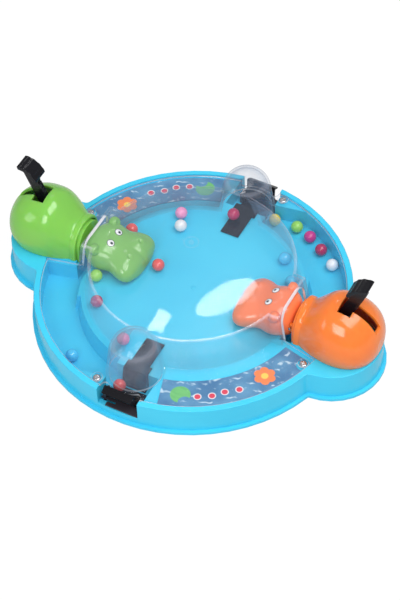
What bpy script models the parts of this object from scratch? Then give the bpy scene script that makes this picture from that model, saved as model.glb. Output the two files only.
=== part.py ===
"""Two-player bean-eating game: a round tray with two nodding hippo heads under a clear cover.

Metres, +Z up.  The origin is at the bottom centre of the tray.  The heads face each other
along X and the two bean launchers stand on the Y axis.  One half is the other half turned
by 180 degrees about Z, so every half is modelled once, on the +X or the +Y side.
"""
from math import acos, asin, atan2, copysign, cos, pi, radians, sin, sqrt, tan

import bmesh
import bpy
from mathutils import Matrix, Vector

# Clearances
GAP = 0.0003
OVERRUN = 0.002

# Tray shell
RIM_RADIUS = 0.1000
RIM_HEIGHT = 0.02035
RIM_WIDTH = 0.0037
RIM_ROUNDING = 0.0006
SHELL_WALL = 0.0020
FLANGE_REACH = 0.0021
FLANGE_HEIGHT = 0.0022
LOBE_CORNER = 0.0030
ROOF_THICKNESS = 0.0020

# Levels, from the rim down: the cover plate, the play field and the gutter floor
COVER_WALL = 0.0015
PLATE_DROP = 0.00035
LABEL_ROOM = 0.0009
GUTTER_DEPTH = 0.01235
PLATE_TOP = RIM_HEIGHT - PLATE_DROP
PLATE_BOTTOM = PLATE_TOP - COVER_WALL
FIELD_HEIGHT = PLATE_BOTTOM - LABEL_ROOM
GUTTER_FLOOR = FIELD_HEIGHT - GUTTER_DEPTH

# Rings, from the rim inwards: the gutter, the dome and the play field
GUTTER_LEDGE = 0.0006
GUTTER_WIDTH = 0.0260
GUTTER_SLOPE = 0.0033
DOME_SET_IN = 0.0022
FIELD_SET_IN = 0.0140
FIELD_STEP_WIDTH = 0.0018
FIELD_STEP_DEPTH = 0.0005
FIELD_BAND_SET_IN = 0.0009
FIELD_BAND_DEPTH = 0.0007
GUTTER_OUTER = RIM_RADIUS - RIM_WIDTH - GUTTER_LEDGE
GUTTER_INNER_TOP = GUTTER_OUTER - GUTTER_WIDTH
GUTTER_INNER_FLOOR = GUTTER_INNER_TOP + GUTTER_SLOPE
DOME_BASE_RADIUS = GUTTER_INNER_TOP - DOME_SET_IN
FIELD_RADIUS = DOME_BASE_RADIUS - FIELD_SET_IN
FIELD_BAND_RADIUS = GUTTER_INNER_TOP - FIELD_BAND_SET_IN

# Hippo body shells, measured from the front of the collar
BODY_SET_IN = 0.0240
BODY_LENGTH = 0.0519
BODY_HALF_WIDTH = 0.0230
BODY_HALF_HEIGHT = 0.0260
BODY_RISE = 0.00965
BODY_WALL = 0.0018
BODY_FRONT_WALL = 0.0020
BODY_WIDEST_REACH = 0.0280
BODY_WIDTH_POWER = 2.3
BODY_TALLEST_REACH = 0.0230
BODY_HEIGHT_POWER = 2.2
BODY_THROAT_REACH = 0.0042
BODY_THROAT_BORDER = 0.0013
BODY_THROAT_DROP = 0.0080
BODY_THROAT_POWER = 2.4
BODY_EASE = 1.3
BODY_FRONT = RIM_RADIUS - BODY_SET_IN
BODY_REAR = BODY_FRONT + BODY_LENGTH
BODY_WIDEST = BODY_FRONT + BODY_WIDEST_REACH
BODY_TALLEST = BODY_FRONT + BODY_TALLEST_REACH
BODY_CENTRE_HEIGHT = RIM_HEIGHT + BODY_RISE

# Lobes of the tray under the bodies
LOBE_BORDER = 0.0093
BODY_OVERHANG = 0.0005
LOBE_RADIUS = BODY_HALF_WIDTH + LOBE_BORDER
LOBE_CENTRE = BODY_REAR - BODY_OVERHANG - LOBE_RADIUS

# Neck slide
SHELF_LEDGE = 0.0007
NECK_SET_OUT = 0.0010
NECK_LENGTH = 0.0117
NECK_HALF_WIDTH = 0.0132
NECK_HEIGHT = 0.0219
NECK_ROUND = 0.0125
NECK_WALL = 0.0018
NECK_OPENING_CLEARANCE = 0.0008
TAIL_HALF_WIDTH = 0.0070
TAIL_THICKNESS = 0.0024
TAIL_BAR = 0.0014
SHELF_FRONT = BODY_FRONT - SHELF_LEDGE
NECK_FRONT = SHELF_FRONT - NECK_SET_OUT
NECK_REAR = NECK_FRONT + NECK_LENGTH
NECK_TOP = FIELD_HEIGHT + NECK_HEIGHT
NECK_ROUND_HEIGHT = NECK_TOP - NECK_ROUND

# Shelf that carries a body, the channel in it for the neck, and the pit before it
CHANNEL_CLEARANCE = 0.0011
CHANNEL_LENGTH = 0.0372
SHELF_BORDER = 0.0014
DROP_PIT_LENGTH = 0.0088
DROP_PIT_HALF_WIDTH = 0.0135
DROP_PIT_LEDGE = 0.0007
DROP_PIT_SIDE = 0.0220
CHANNEL_HALF_WIDTH = NECK_HALF_WIDTH + CHANNEL_CLEARANCE
CHANNEL_END = SHELF_FRONT + CHANNEL_LENGTH
SHELF_HALF_ANGLE = atan2(CHANNEL_HALF_WIDTH + SHELF_BORDER, SHELF_FRONT)
DROP_PIT_FRONT = SHELF_FRONT - DROP_PIT_LENGTH

# Collar, lever slot and screws of a body
COLLAR_LENGTH = 0.0042
COLLAR_CHAMFER = 0.0009
COLLAR_BORDER = 0.0019
COLLAR_DOOR_DEPTH = 0.0065
COLLAR_HALF_WIDTH = NECK_HALF_WIDTH + NECK_OPENING_CLEARANCE + COLLAR_BORDER
COLLAR_TOP = NECK_TOP + NECK_OPENING_CLEARANCE + COLLAR_BORDER
THROAT_HALF_WIDTH = NECK_HALF_WIDTH + NECK_OPENING_CLEARANCE + BODY_THROAT_BORDER
THROAT_TOP = NECK_TOP + NECK_OPENING_CLEARANCE + BODY_THROAT_BORDER
THROAT_CENTRE = BODY_CENTRE_HEIGHT - BODY_THROAT_DROP
SLOT_SET_OUT = 0.0053
SLOT_WIDE_LENGTH = 0.0085
SLOT_NARROW_CLEARANCE = 0.00165
SLOT_END_RISE = 0.0112
BODY_BOSS_RADIUS = 0.0028
BODY_BOSS_HEIGHT = 0.0080
BODY_SCREW_SET_OUT = 0.0050
BODY_SCREW_BORDER = 0.0044
BODY_REAR_SCREW_BORDER = 0.0057
BODY_SCREW_LENGTH = 0.0105

# Lever, its axle and its return spring
PIVOT_SET_IN = 0.0200
PIVOT_RISE = 0.0104
AXLE_RADIUS = 0.00125
AXLE_OVERHANG = 0.0004
POST_THICKNESS = 0.0026
POST_RADIUS = 0.0034
HUB_RADIUS = 0.0038
HUB_HALF_WIDTH = 0.0070
SHANK_LEAN = radians(22.1)
SHANK_LENGTH = 0.0478
SHANK_HALF_DEPTH = 0.0038
SHANK_HALF_WIDTH = 0.0016
LEVER_TRAVEL = radians(35.0)
FINGER_REACH = 0.0084
FINGER_RADIUS = 0.0016
FINGER_HALF_WIDTH = 0.0025
HEEL_REACH = 0.0115
HEEL_HALF_DEPTH = 0.0014
HEEL_HALF_WIDTH = 0.0032
PAD_HALF_WIDTH = 0.0055
PAD_THICKNESS = 0.0020
PAD_ARC_RADIUS = 0.0125
PAD_ARC_AHEAD = 0.0036
PAD_ARC_DROP = 0.0073
PAD_ARC_START = radians(83.0)
PAD_ARC_END = radians(163.0)
PAD_RIDGE_RADIUS = 0.0005
PAD_RIDGES = 5
SPRING_RADIUS = 0.0027
SPRING_WIRE_RADIUS = 0.0004
SPRING_TURNS = 4
SPIGOT_RADIUS = 0.0017
SPIGOT_HEIGHT = 0.0022
PIVOT_X = BODY_FRONT + PIVOT_SET_IN
PIVOT_HEIGHT = FIELD_HEIGHT + PIVOT_RISE
POST_INNER = HUB_HALF_WIDTH + 2 * GAP
POST_OUTER = POST_INNER + POST_THICKNESS
AXLE_HALF_LENGTH = POST_OUTER + AXLE_OVERHANG
SLOT_INNER = PIVOT_X + SLOT_SET_OUT
SLOT_WIDE_END = SLOT_INNER + SLOT_WIDE_LENGTH
SLOT_WIDE_HALF_WIDTH = HUB_HALF_WIDTH + GAP
SLOT_NARROW_HALF_WIDTH = SHANK_HALF_WIDTH + SLOT_NARROW_CLEARANCE
SLOT_END_HEIGHT = BODY_CENTRE_HEIGHT + SLOT_END_RISE
BODY_SCREW_X = PIVOT_X + BODY_SCREW_SET_OUT
BODY_SCREW_Y = BODY_HALF_WIDTH - BODY_SCREW_BORDER
BODY_REAR_SCREW_X = BODY_REAR - BODY_REAR_SCREW_BORDER

# Pin and lugs that carry a head on its neck
HEAD_PIN_SET_OUT = 0.0033
HEAD_PIN_RISE = 0.0084
HEAD_PIN_RADIUS = 0.0012
HEAD_PIN_OVERHANG = 0.0010
LUG_INNER = 0.0070
LUG_THICKNESS = 0.0024
LUG_RADIUS = 0.0030
HEAD_PIN_X = NECK_FRONT - HEAD_PIN_SET_OUT
HEAD_PIN_HEIGHT = FIELD_HEIGHT + HEAD_PIN_RISE
LUG_OUTER = LUG_INNER + LUG_THICKNESS
HEAD_PIN_HALF_LENGTH = LUG_OUTER + HEAD_PIN_OVERHANG

# Head shell; its sections run from the rear, at 0, to the lip, at 1
HEAD_REAR_REACH = 0.0012
HEAD_LENGTH = 0.0392
HEAD_CLEARANCE = 0.0004
HEAD_HEIGHT = 0.0209
HEAD_HALF_WIDTH = 0.0195
HEAD_WALL = 0.0018
HEAD_POWER = 2.4
HEAD_MIDDLE_SHARE = 0.40
HEAD_FLAT_SHARE = 0.74
HEAD_PLACE_SHARES = (0, 0.056, 0.133, 0.247, 0.362, 0.464, 0.566,
                     0.681, 0.796, 0.898, 0.939, 0.969, 1)
HEAD_WIDTH_SHARES = (0.487, 0.641, 0.769, 0.846, 0.810, 0.718, 0.759,
                     0.923, 1, 0.933, 0.831, 0.692, 0.308)
HEAD_HEIGHT_SHARES = (0.718, 0.871, 0.957, 1, 0.986, 0.928, 0.852,
                      0.813, 0.766, 0.670, 0.598, 0.517, 0.383)
MOUTH_FIRST_SECTION = 3
MOUTH_LAST_SECTION = 9
CHIN_RECESS = 0.0024
CHIN_REACH = 0.0024
CHIN_SLOPE = 0.0016
SNOUT_CLEFT_DEPTH = 0.0014
SNOUT_CLEFT_HALF_WIDTH = 0.0045
SNOUT_CLEFT_LENGTH = 0.0150
EAR_SET_IN = 0.0082
EAR_Y = 0.0125
EAR_DROP = 0.0021
EAR_RADIUS = 0.0030
HEAD_REAR = HEAD_PIN_X + HEAD_REAR_REACH
HEAD_LIP = HEAD_REAR - HEAD_LENGTH
HEAD_BOTTOM = FIELD_HEIGHT + HEAD_CLEARANCE
CHIN_FRONT = HEAD_LIP + CHIN_REACH
EAR_X = HEAD_REAR - EAR_SET_IN
EAR_HEIGHT = HEAD_BOTTOM + HEAD_HEIGHT - EAR_DROP

# Clear cover: the dome
DOME_DRAFT = 0.0028
DOME_RISE = 0.0236
DOME_EDGE_REACH = 0.0022
DOME_EDGE_DROP = 0.0021
DOME_CROWN_RISE = 0.0004
DOME_SHOULDER_RADIUS = DOME_BASE_RADIUS - DOME_DRAFT
DOME_TOP_RADIUS = DOME_SHOULDER_RADIUS - DOME_EDGE_REACH
DOME_TOP_HEIGHT = PLATE_TOP + DOME_RISE
DOME_SHOULDER_HEIGHT = DOME_TOP_HEIGHT - DOME_EDGE_DROP
DOME_CROWN_HEIGHT = DOME_TOP_HEIGHT + DOME_CROWN_RISE

# Clear cover: the tunnels round the necks
ARCH_SET_IN = 0.0045
ARCH_LEAN = 0.0030
ARCH_LENGTH = 0.0215
ARCH_DROP = 0.0002
ARCH_BORDER = 0.0053
ARCH_DRAFT = 0.0009
ARCH_CORNER = 0.0030
ARCH_SIDE_CLEARANCE = 0.0018
ARCH_TOP_CLEARANCE = 0.0021
ARCH_OPENING_CORNER = 0.0080
PLATE_CUT_BORDER = 0.0006
ARCH_FOOT = BODY_FRONT - ARCH_SET_IN
ARCH_ROOT = ARCH_FOOT - ARCH_LENGTH
ARCH_HEIGHT = DOME_TOP_HEIGHT - ARCH_DROP
ARCH_OPENING_HALF_WIDTH = NECK_HALF_WIDTH + ARCH_SIDE_CLEARANCE
ARCH_OPENING_TOP = NECK_TOP + ARCH_TOP_CLEARANCE
ARCH_BASE_HALF_WIDTH = ARCH_OPENING_HALF_WIDTH + ARCH_BORDER
ARCH_TOP_HALF_WIDTH = ARCH_BASE_HALF_WIDTH - ARCH_DRAFT
PLATE_CUT_HALF_ANGLE = atan2(ARCH_OPENING_HALF_WIDTH + PLATE_CUT_BORDER, ARCH_FOOT)

# Gutter plan, from the shelf round to the pocket
GUTTER_START_GAP = radians(0.8)
GUTTER_SET_IN = radians(31.3)
GUTTER_SET_IN_REACH = 0.0019
TROUGH_WALL = 0.0025
GUTTER_START = SHELF_HALF_ANGLE + GUTTER_START_GAP

# Launcher: ramp, cradle, pin and lever
POCKET_LENGTH = 0.0217
POCKET_LEFT = 0.0150
POCKET_RIGHT = 0.0146
RAMP_TONGUE_REACH = 0.0040
RAMP_HALF_WIDTH = 0.0063
RAMP_WIDE_HALF_WIDTH = 0.0082
RAMP_WIDE_LENGTH = 0.0050
RAMP_THICKNESS = 0.0010
RAMP_LIP_LENGTH = 0.0020
RAMP_FOOT_LENGTH = 0.0053
LAUNCHER_PIVOT_SET_IN = 0.0090
LAUNCHER_PIVOT_RISE = 0.00495
LAUNCHER_PIN_RADIUS = 0.0010
LAUNCHER_PIN_OVERHANG = 0.0008
LAUNCHER_HUB_RADIUS = 0.0023
LAUNCHER_HALF_WIDTH = 0.0100
LAUNCHER_ARM_THICKNESS = 0.0012
SPOON_CLEARANCE = 0.0019
SPOON_SET_IN = 0.0025
SPOON_THICKNESS = 0.0018
TAB_SET_IN = 0.0005
TAB_LENGTH = 0.0038
TAB_DROP = 0.0024
TAB_RISE = 0.00105
WEB_SET_IN = 0.0011
WEB_HEIGHT = 0.0079
CRADLE_CHEEK_THICKNESS = 0.0016
CRADLE_CHEEK_REACH_IN = 0.0025
CRADLE_CHEEK_REACH_OUT = 0.0035
CRADLE_CHEEK_RISE = 0.0030
CRADLE_PLATE_SET_IN = 0.0007
CRADLE_PLATE_THICKNESS = 0.0009
POCKET_INNER = GUTTER_OUTER - POCKET_LENGTH
RAMP_TONGUE_END = FIELD_RADIUS - RAMP_TONGUE_REACH
RAMP_WIDE_START = POCKET_INNER - RAMP_WIDE_LENGTH
RAMP_LIP = POCKET_INNER + RAMP_LIP_LENGTH
RAMP_FOOT = POCKET_INNER + RAMP_FOOT_LENGTH
LAUNCHER_PIVOT_Y = RIM_RADIUS - LAUNCHER_PIVOT_SET_IN
LAUNCHER_PIVOT_HEIGHT = GUTTER_FLOOR + LAUNCHER_PIVOT_RISE
SPOON_TIP = RAMP_FOOT + SPOON_CLEARANCE
SPOON_HEEL = LAUNCHER_PIVOT_Y - SPOON_SET_IN
TAB_OUTER_Y = RIM_RADIUS - TAB_SET_IN
TAB_BEND_Y = TAB_OUTER_Y - TAB_LENGTH
TAB_BEND_HEIGHT = RIM_HEIGHT + TAB_RISE
TAB_OUTER_HEIGHT = TAB_BEND_HEIGHT - TAB_DROP
WEB_FOOT_Y = TAB_BEND_Y - WEB_SET_IN
WEB_FOOT_HEIGHT = TAB_BEND_HEIGHT - WEB_HEIGHT
CRADLE_INNER_HALF_WIDTH = LAUNCHER_HALF_WIDTH + 2 * GAP
CRADLE_OUTER_HALF_WIDTH = CRADLE_INNER_HALF_WIDTH + CRADLE_CHEEK_THICKNESS
LAUNCHER_PIN_HALF_LENGTH = CRADLE_OUTER_HALF_WIDTH + LAUNCHER_PIN_OVERHANG

# Rim notch over a launcher, and the hood and the cut in the cover plate above it
NOTCH_CLEARANCE = 0.0007
NOTCH_RISE = 0.00205
BULGE_SET_OUT = 0.0008
BULGE_BASE_RADIUS = 0.0180
BULGE_CAP_RADIUS = 0.0158
BULGE_CAP_RISE = 0.0162
BULGE_CAP_START = radians(8)
HOOD_FLANGE = 0.0013
PLATE_NOTCH_CORNER = 0.0030
NOTCH_HALF_WIDTH = LAUNCHER_PIN_HALF_LENGTH + NOTCH_CLEARANCE
NOTCH_FLOOR = GUTTER_FLOOR + NOTCH_RISE
BULGE_CENTRE = POCKET_INNER + BULGE_SET_OUT
BULGE_CAP_HEIGHT = PLATE_TOP + BULGE_CAP_RISE

# Cover screws, one beside a body and one beside a pocket, and the platform for the second
COVER_SCREW_SET_IN = 0.0075
COVER_SCREW_BODY_GAP = 0.0034
COVER_SCREW_POCKET_GAP = 0.0035
SCREW_PLATFORM_DEPTH = 0.0097
SCREW_PLATFORM_LENGTH = 0.0203
SCREW_HEAD_RADIUS = 0.0024
SCREW_HEAD_HEIGHT = 0.0012
SCREW_SHANK_RADIUS = 0.0010
SCREW_RECESS_RADIUS = 0.0011
SCREW_RECESS_DEPTH = 0.0006
SCREW_CROWN_SHARE = 0.8
COVER_SCREW_LENGTH = 0.0090
COVER_SCREW_RING_RADIUS = 0.0035
COVER_SCREW_RING_HEIGHT = 0.0007
TRAY_BOSS_RADIUS = 0.0030
TRAY_BOSS_DEPTH = 0.0100
COVER_SCREW_RADIUS = RIM_RADIUS - COVER_SCREW_SET_IN
COVER_SCREW_ANGLES = (-asin((BODY_HALF_WIDTH + COVER_SCREW_BODY_GAP) / COVER_SCREW_RADIUS),
                      acos((POCKET_RIGHT + COVER_SCREW_POCKET_GAP) / COVER_SCREW_RADIUS))
SCREW_PLATFORM_FRONT = GUTTER_OUTER - SCREW_PLATFORM_DEPTH
SCREW_PLATFORM_END = acos((POCKET_RIGHT + SCREW_PLATFORM_LENGTH) / GUTTER_OUTER)

# Printed labels under the cover plate, from beside a launcher round to a tunnel
LABEL_THICKNESS = 0.0003
LABEL_BORDER = 0.0007
LABEL_SET_OUT = 0.0077
LABEL_START_INNER_X = 0.0178
LABEL_START_OUTER_X = 0.0236
LABEL_END_GAP = radians(1.7)
LABEL_SCREW_BORDER = 0.0007
LABEL_OUTER = GUTTER_OUTER - LABEL_BORDER
LABEL_INNER = DOME_BASE_RADIUS + LABEL_SET_OUT

# Beans: plain balls.  A field bean has its share of the reach inside the dome and its angle
# in degrees.  A bean beside a head touches the dome's wall at a distance from the head's side.
# A gutter bean has its share of the gutter's width and of its length, and a bean on a ramp or
# a spoon its shares of that piece's half width and length.
BEAN_RADIUS = 0.0040
BEAN_WALL_CLEARANCE = 0.0006
FIELD_BEAN_SHARES = {
    "pink": ((0.997, 124.8), (0.995, -106.7)),
    "white": ((0.811, 126.8),),
    "crimson": ((0.998, -140.2),),
    "sky_blue": ((0.995, 46.5), (0.998, 27.6)),
}
CORAL_BEAN_SIDE_GAP = 0.0041
LIME_BEAN_SIDE_GAP = 0.0013
LIP_BEAN_AHEAD = 0.0062
LIP_BEAN_ASIDE = 0.0039
RAMP_BEAN_SHARES = {"crimson": ((-0.55, 0.667),)}
GUTTER_BEAN_SHARES = {
    "white": (0.799, 0.443),
    "crimson": (0.726, 0.580),
    "lime": (0.667, 0.821),
    "magenta": (0.712, 0.705),
    "yellow": (0.430, 0.976),
}
TURNED_GUTTER_BEAN_SHARES = {"sky_blue": (0.652, 0.687)}
SPOON_BEAN_SHARES = (0.64, 0.466)

# Mesh fineness
SHARP_ANGLE = radians(35)
MITRE_SHARE = 0.5
OUTLINE_STEP = radians(6)
ROUND_SEGMENTS = 60
BULGE_SEGMENTS = 24
BODY_POINTS = 22
BODY_RINGS = 12
COLLAR_POINTS = 26
HEAD_POINTS = 18
SMALL_SEGMENTS = 8
HUB_SEGMENTS = 16
SPRING_STEPS = 8
BEAN_SEGMENTS = 10
BEAN_RINGS = 6

# Colours: red, green, blue, roughness, metallic
COLOURS = {
    "tray_blue": (0.10, 0.62, 0.91, 0.25, 0.0),
    "clear": (0.85, 0.90, 0.95, 0.08, 0.0),
    "green": (0.26, 0.66, 0.05, 0.25, 0.0),
    "orange": (0.98, 0.28, 0.03, 0.25, 0.0),
    "black": (0.012, 0.012, 0.014, 0.30, 0.0),
    "steel": (0.60, 0.60, 0.62, 0.30, 1.0),
    "print": (0.20, 0.42, 0.66, 0.45, 0.0),
    "bean_pink": (0.93, 0.50, 0.72, 0.25, 0.0),
    "bean_white": (0.90, 0.90, 0.92, 0.25, 0.0),
    "bean_crimson": (0.66, 0.04, 0.16, 0.25, 0.0),
    "bean_coral": (0.90, 0.16, 0.13, 0.25, 0.0),
    "bean_lime": (0.42, 0.74, 0.12, 0.25, 0.0),
    "bean_sky_blue": (0.07, 0.52, 0.85, 0.25, 0.0),
    "bean_magenta": (0.78, 0.06, 0.30, 0.25, 0.0),
    "bean_yellow": (0.93, 0.70, 0.10, 0.25, 0.0),
}


def clear_scene():
    for old in list(bpy.data.objects):
        bpy.data.objects.remove(old, do_unlink=True)


def material(name):
    red, green, blue, roughness, metallic = COLOURS[name]
    finish = bpy.data.materials.get(name) or bpy.data.materials.new(name)
    finish.use_nodes = True
    shader = finish.node_tree.nodes["Principled BSDF"]
    shader.inputs["Base Color"].default_value = (red, green, blue, 1.0)
    shader.inputs["Roughness"].default_value = roughness
    shader.inputs["Metallic"].default_value = metallic
    return finish


def piece(name, bm, colour=None, parent=None, location=(0, 0, 0)):
    """Turn a bmesh into an object; without a colour it is a cutter or a tool."""
    bmesh.ops.recalc_face_normals(bm, faces=bm.faces)
    mesh = bpy.data.meshes.new(name)
    bm.to_mesh(mesh)
    bm.free()
    mesh.shade_smooth()
    mesh.set_sharp_from_angle(angle=SHARP_ANGLE)
    body = bpy.data.objects.new(name, mesh)
    body.parent = parent
    body.location = location
    bpy.context.collection.objects.link(body)
    if colour:
        mesh.materials.append(material(colour))
    else:
        body.hide_render = True
        body.display_type = "WIRE"
    return body


def alter(target, tool_bm, operation="DIFFERENCE", parent=None):
    """Cut a target with a tool, or join the tool to it, with an exact Boolean."""
    count = len(target.modifiers)
    tool = piece(f"{target.name}_tool_{count}", tool_bm, parent=parent or target.parent)
    change = target.modifiers.new(f"{operation.lower()}_{count}", "BOOLEAN")
    change.operation = operation
    change.solver = "EXACT"
    change.object = tool
    return tool


def cut(target, tool_bm, parent=None):
    return alter(target, tool_bm, "DIFFERENCE", parent)


def join(target, tool_bm, parent=None):
    return alter(target, tool_bm, "UNION", parent)


def loft(rings):
    """Skin rings of equal point counts, point to point, and close both ends."""
    bm = bmesh.new()
    loops = [[bm.verts.new(point) for point in ring] for ring in rings]
    for lower, upper in zip(loops, loops[1:]):
        for i in range(len(lower)):
            bm.faces.new((lower[i - 1], lower[i], upper[i], upper[i - 1]))
    bm.faces.new(loops[0])
    bm.faces.new(loops[-1])
    return bm


def prism(outline, low, high):
    return loft([[(x, y, z) for x, y in outline] for z in (low, high)])


def side_prism(outline, low, high):
    """A prism along Y of an outline given as (x, z)."""
    return loft([[(x, y, z) for x, z in outline] for y in (low, high)])


def front_prism(outline, low, high):
    """A prism along X of an outline given as (y, z)."""
    return loft([[(x, y, z) for y, z in outline] for x in (low, high)])


def block(low, high):
    """A box between two corners."""
    bm = bmesh.new()
    size = Vector(high) - Vector(low)
    centre = (Vector(high) + Vector(low)) / 2
    bmesh.ops.create_cube(bm, size=1.0, matrix=Matrix.Translation(centre) @ Matrix.Diagonal(size.to_4d()))
    return bm


def turned(profile, centre=(0, 0), segments=ROUND_SEGMENTS):
    """Spin a profile of (radius, height) about a vertical axis; both ends lie on the axis."""
    bm = bmesh.new()
    verts = [bm.verts.new((radius, 0, height)) for radius, height in profile]
    edges = [bm.edges.new(pair) for pair in zip(verts, verts[1:])]
    bmesh.ops.spin(bm, geom=verts + edges, axis=(0, 0, 1), cent=(0, 0, 0), angle=2 * pi,
                   steps=segments, use_merge=True)
    bmesh.ops.remove_doubles(bm, verts=bm.verts, dist=GAP / 10)
    bmesh.ops.translate(bm, verts=bm.verts, vec=(centre[0], centre[1], 0))
    return bm


def rod(radius, low, high, centre, axis="Z", segments=SMALL_SEGMENTS):
    """A round rod along an axis, from low to high on it, through the other two coordinates."""
    ring = arc((0, 0), radius, 0, 2 * pi, segments)[:-1]
    a, b = centre
    if axis == "Z":
        return loft([[(a + u, b + v, z) for u, v in ring] for z in (low, high)])
    if axis == "Y":
        return loft([[(a + u, y, b + v) for u, v in ring] for y in (low, high)])
    return loft([[(x, a + u, b + v) for u, v in ring] for x in (low, high)])


def merged(*parts):
    """One bmesh with the separate shapes of several."""
    whole = bmesh.new()
    for part in parts:
        scratch = bpy.data.meshes.new("scratch")
        part.to_mesh(scratch)
        part.free()
        whole.from_mesh(scratch)
        bpy.data.meshes.remove(scratch)
    return whole


def arc(centre, radius, start, end, steps):
    return [(centre[0] + radius * cos(start + (end - start) * i / steps),
             centre[1] + radius * sin(start + (end - start) * i / steps))
            for i in range(steps + 1)]


def polar(radius, angle):
    return (radius * cos(angle), radius * sin(angle))


def half_turned(points):
    return [(-x, -y) for x, y in points]


def grown(outline, reach):
    """Move each side of an anticlockwise outline outwards, with mitred corners."""
    result = []
    for i, (x, y) in enumerate(outline):
        before = Vector((x, y)) - Vector(outline[i - 1])
        after = Vector(outline[(i + 1) % len(outline)]) - Vector((x, y))
        normals = [Vector((side.y, -side.x)).normalized() for side in (before, after)]
        middle = (normals[0] + normals[1]).normalized()
        spread = reach / max(middle.dot(normals[0]), MITRE_SHARE)
        result.append((x + middle.x * spread, y + middle.y * spread))
    return result


def tray_outline(grow=0.0):
    """The circle with a lobe at each end, and a small fillet in each corner between them."""
    reach = RIM_RADIUS + LOBE_CORNER
    lobe_reach = LOBE_RADIUS + LOBE_CORNER
    x = (reach ** 2 - lobe_reach ** 2 + LOBE_CENTRE ** 2) / (2 * LOBE_CENTRE)
    y = sqrt(reach ** 2 - x ** 2)
    rim_angle = atan2(y, x)
    lobe_angle = atan2(y, x - LOBE_CENTRE)
    fillet = LOBE_CORNER - grow
    rim_steps = round((pi - 2 * rim_angle) / OUTLINE_STEP)
    lobe_steps = round(2 * lobe_angle / (2 * OUTLINE_STEP))
    half = arc((LOBE_CENTRE, 0), LOBE_RADIUS + grow, -lobe_angle, lobe_angle, lobe_steps)
    half += arc((x, y), fillet, lobe_angle + pi, rim_angle + pi, 3)[1:]
    half += arc((0, 0), RIM_RADIUS + grow, rim_angle, pi - rim_angle, rim_steps)[1:]
    half += arc((-x, y), fillet, -rim_angle, -lobe_angle, 3)[1:-1]
    return half + half_turned(half)


def gutter_outline(floor=False):
    """The plan of the gutter on the +X, +Y side, at its top or at its floor."""
    inner = GUTTER_INNER_FLOOR if floor else GUTTER_INNER_TOP
    pit_rear = SHELF_FRONT - DROP_PIT_LEDGE
    inside_pocket = POCKET_RIGHT - OVERRUN / 2
    points = [(DROP_PIT_FRONT, -DROP_PIT_HALF_WIDTH), (pit_rear, -DROP_PIT_HALF_WIDTH),
              (pit_rear, pit_rear * tan(GUTTER_START))]
    points += arc((0, 0), GUTTER_OUTER, GUTTER_START, SCREW_PLATFORM_END, 10)
    points.append((inside_pocket, SCREW_PLATFORM_FRONT))
    points += arc((0, 0), inner, acos(inside_pocket / inner), GUTTER_SET_IN, 9)
    points += [polar(inner + GUTTER_SET_IN_REACH, GUTTER_SET_IN), (DROP_PIT_FRONT, DROP_PIT_SIDE)]
    return points


def wedge(half_angle, inner, outer):
    """A plan between two rays on the +X side."""
    return [(inner, -inner * tan(half_angle)), (outer, -outer * tan(half_angle)),
            (outer, outer * tan(half_angle)), (inner, inner * tan(half_angle))]


def screw_places():
    """Plan places of the cover screws: two, and the same two after a half turn."""
    first = [polar(COVER_SCREW_RADIUS, angle) for angle in COVER_SCREW_ANGLES]
    return first + half_turned(first)


def body_screw_places():
    """Plan places of the screws that come up into a body: two beside the posts, one behind."""
    return [(BODY_SCREW_X, BODY_SCREW_Y), (BODY_SCREW_X, -BODY_SCREW_Y), (BODY_REAR_SCREW_X, 0)]


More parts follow.
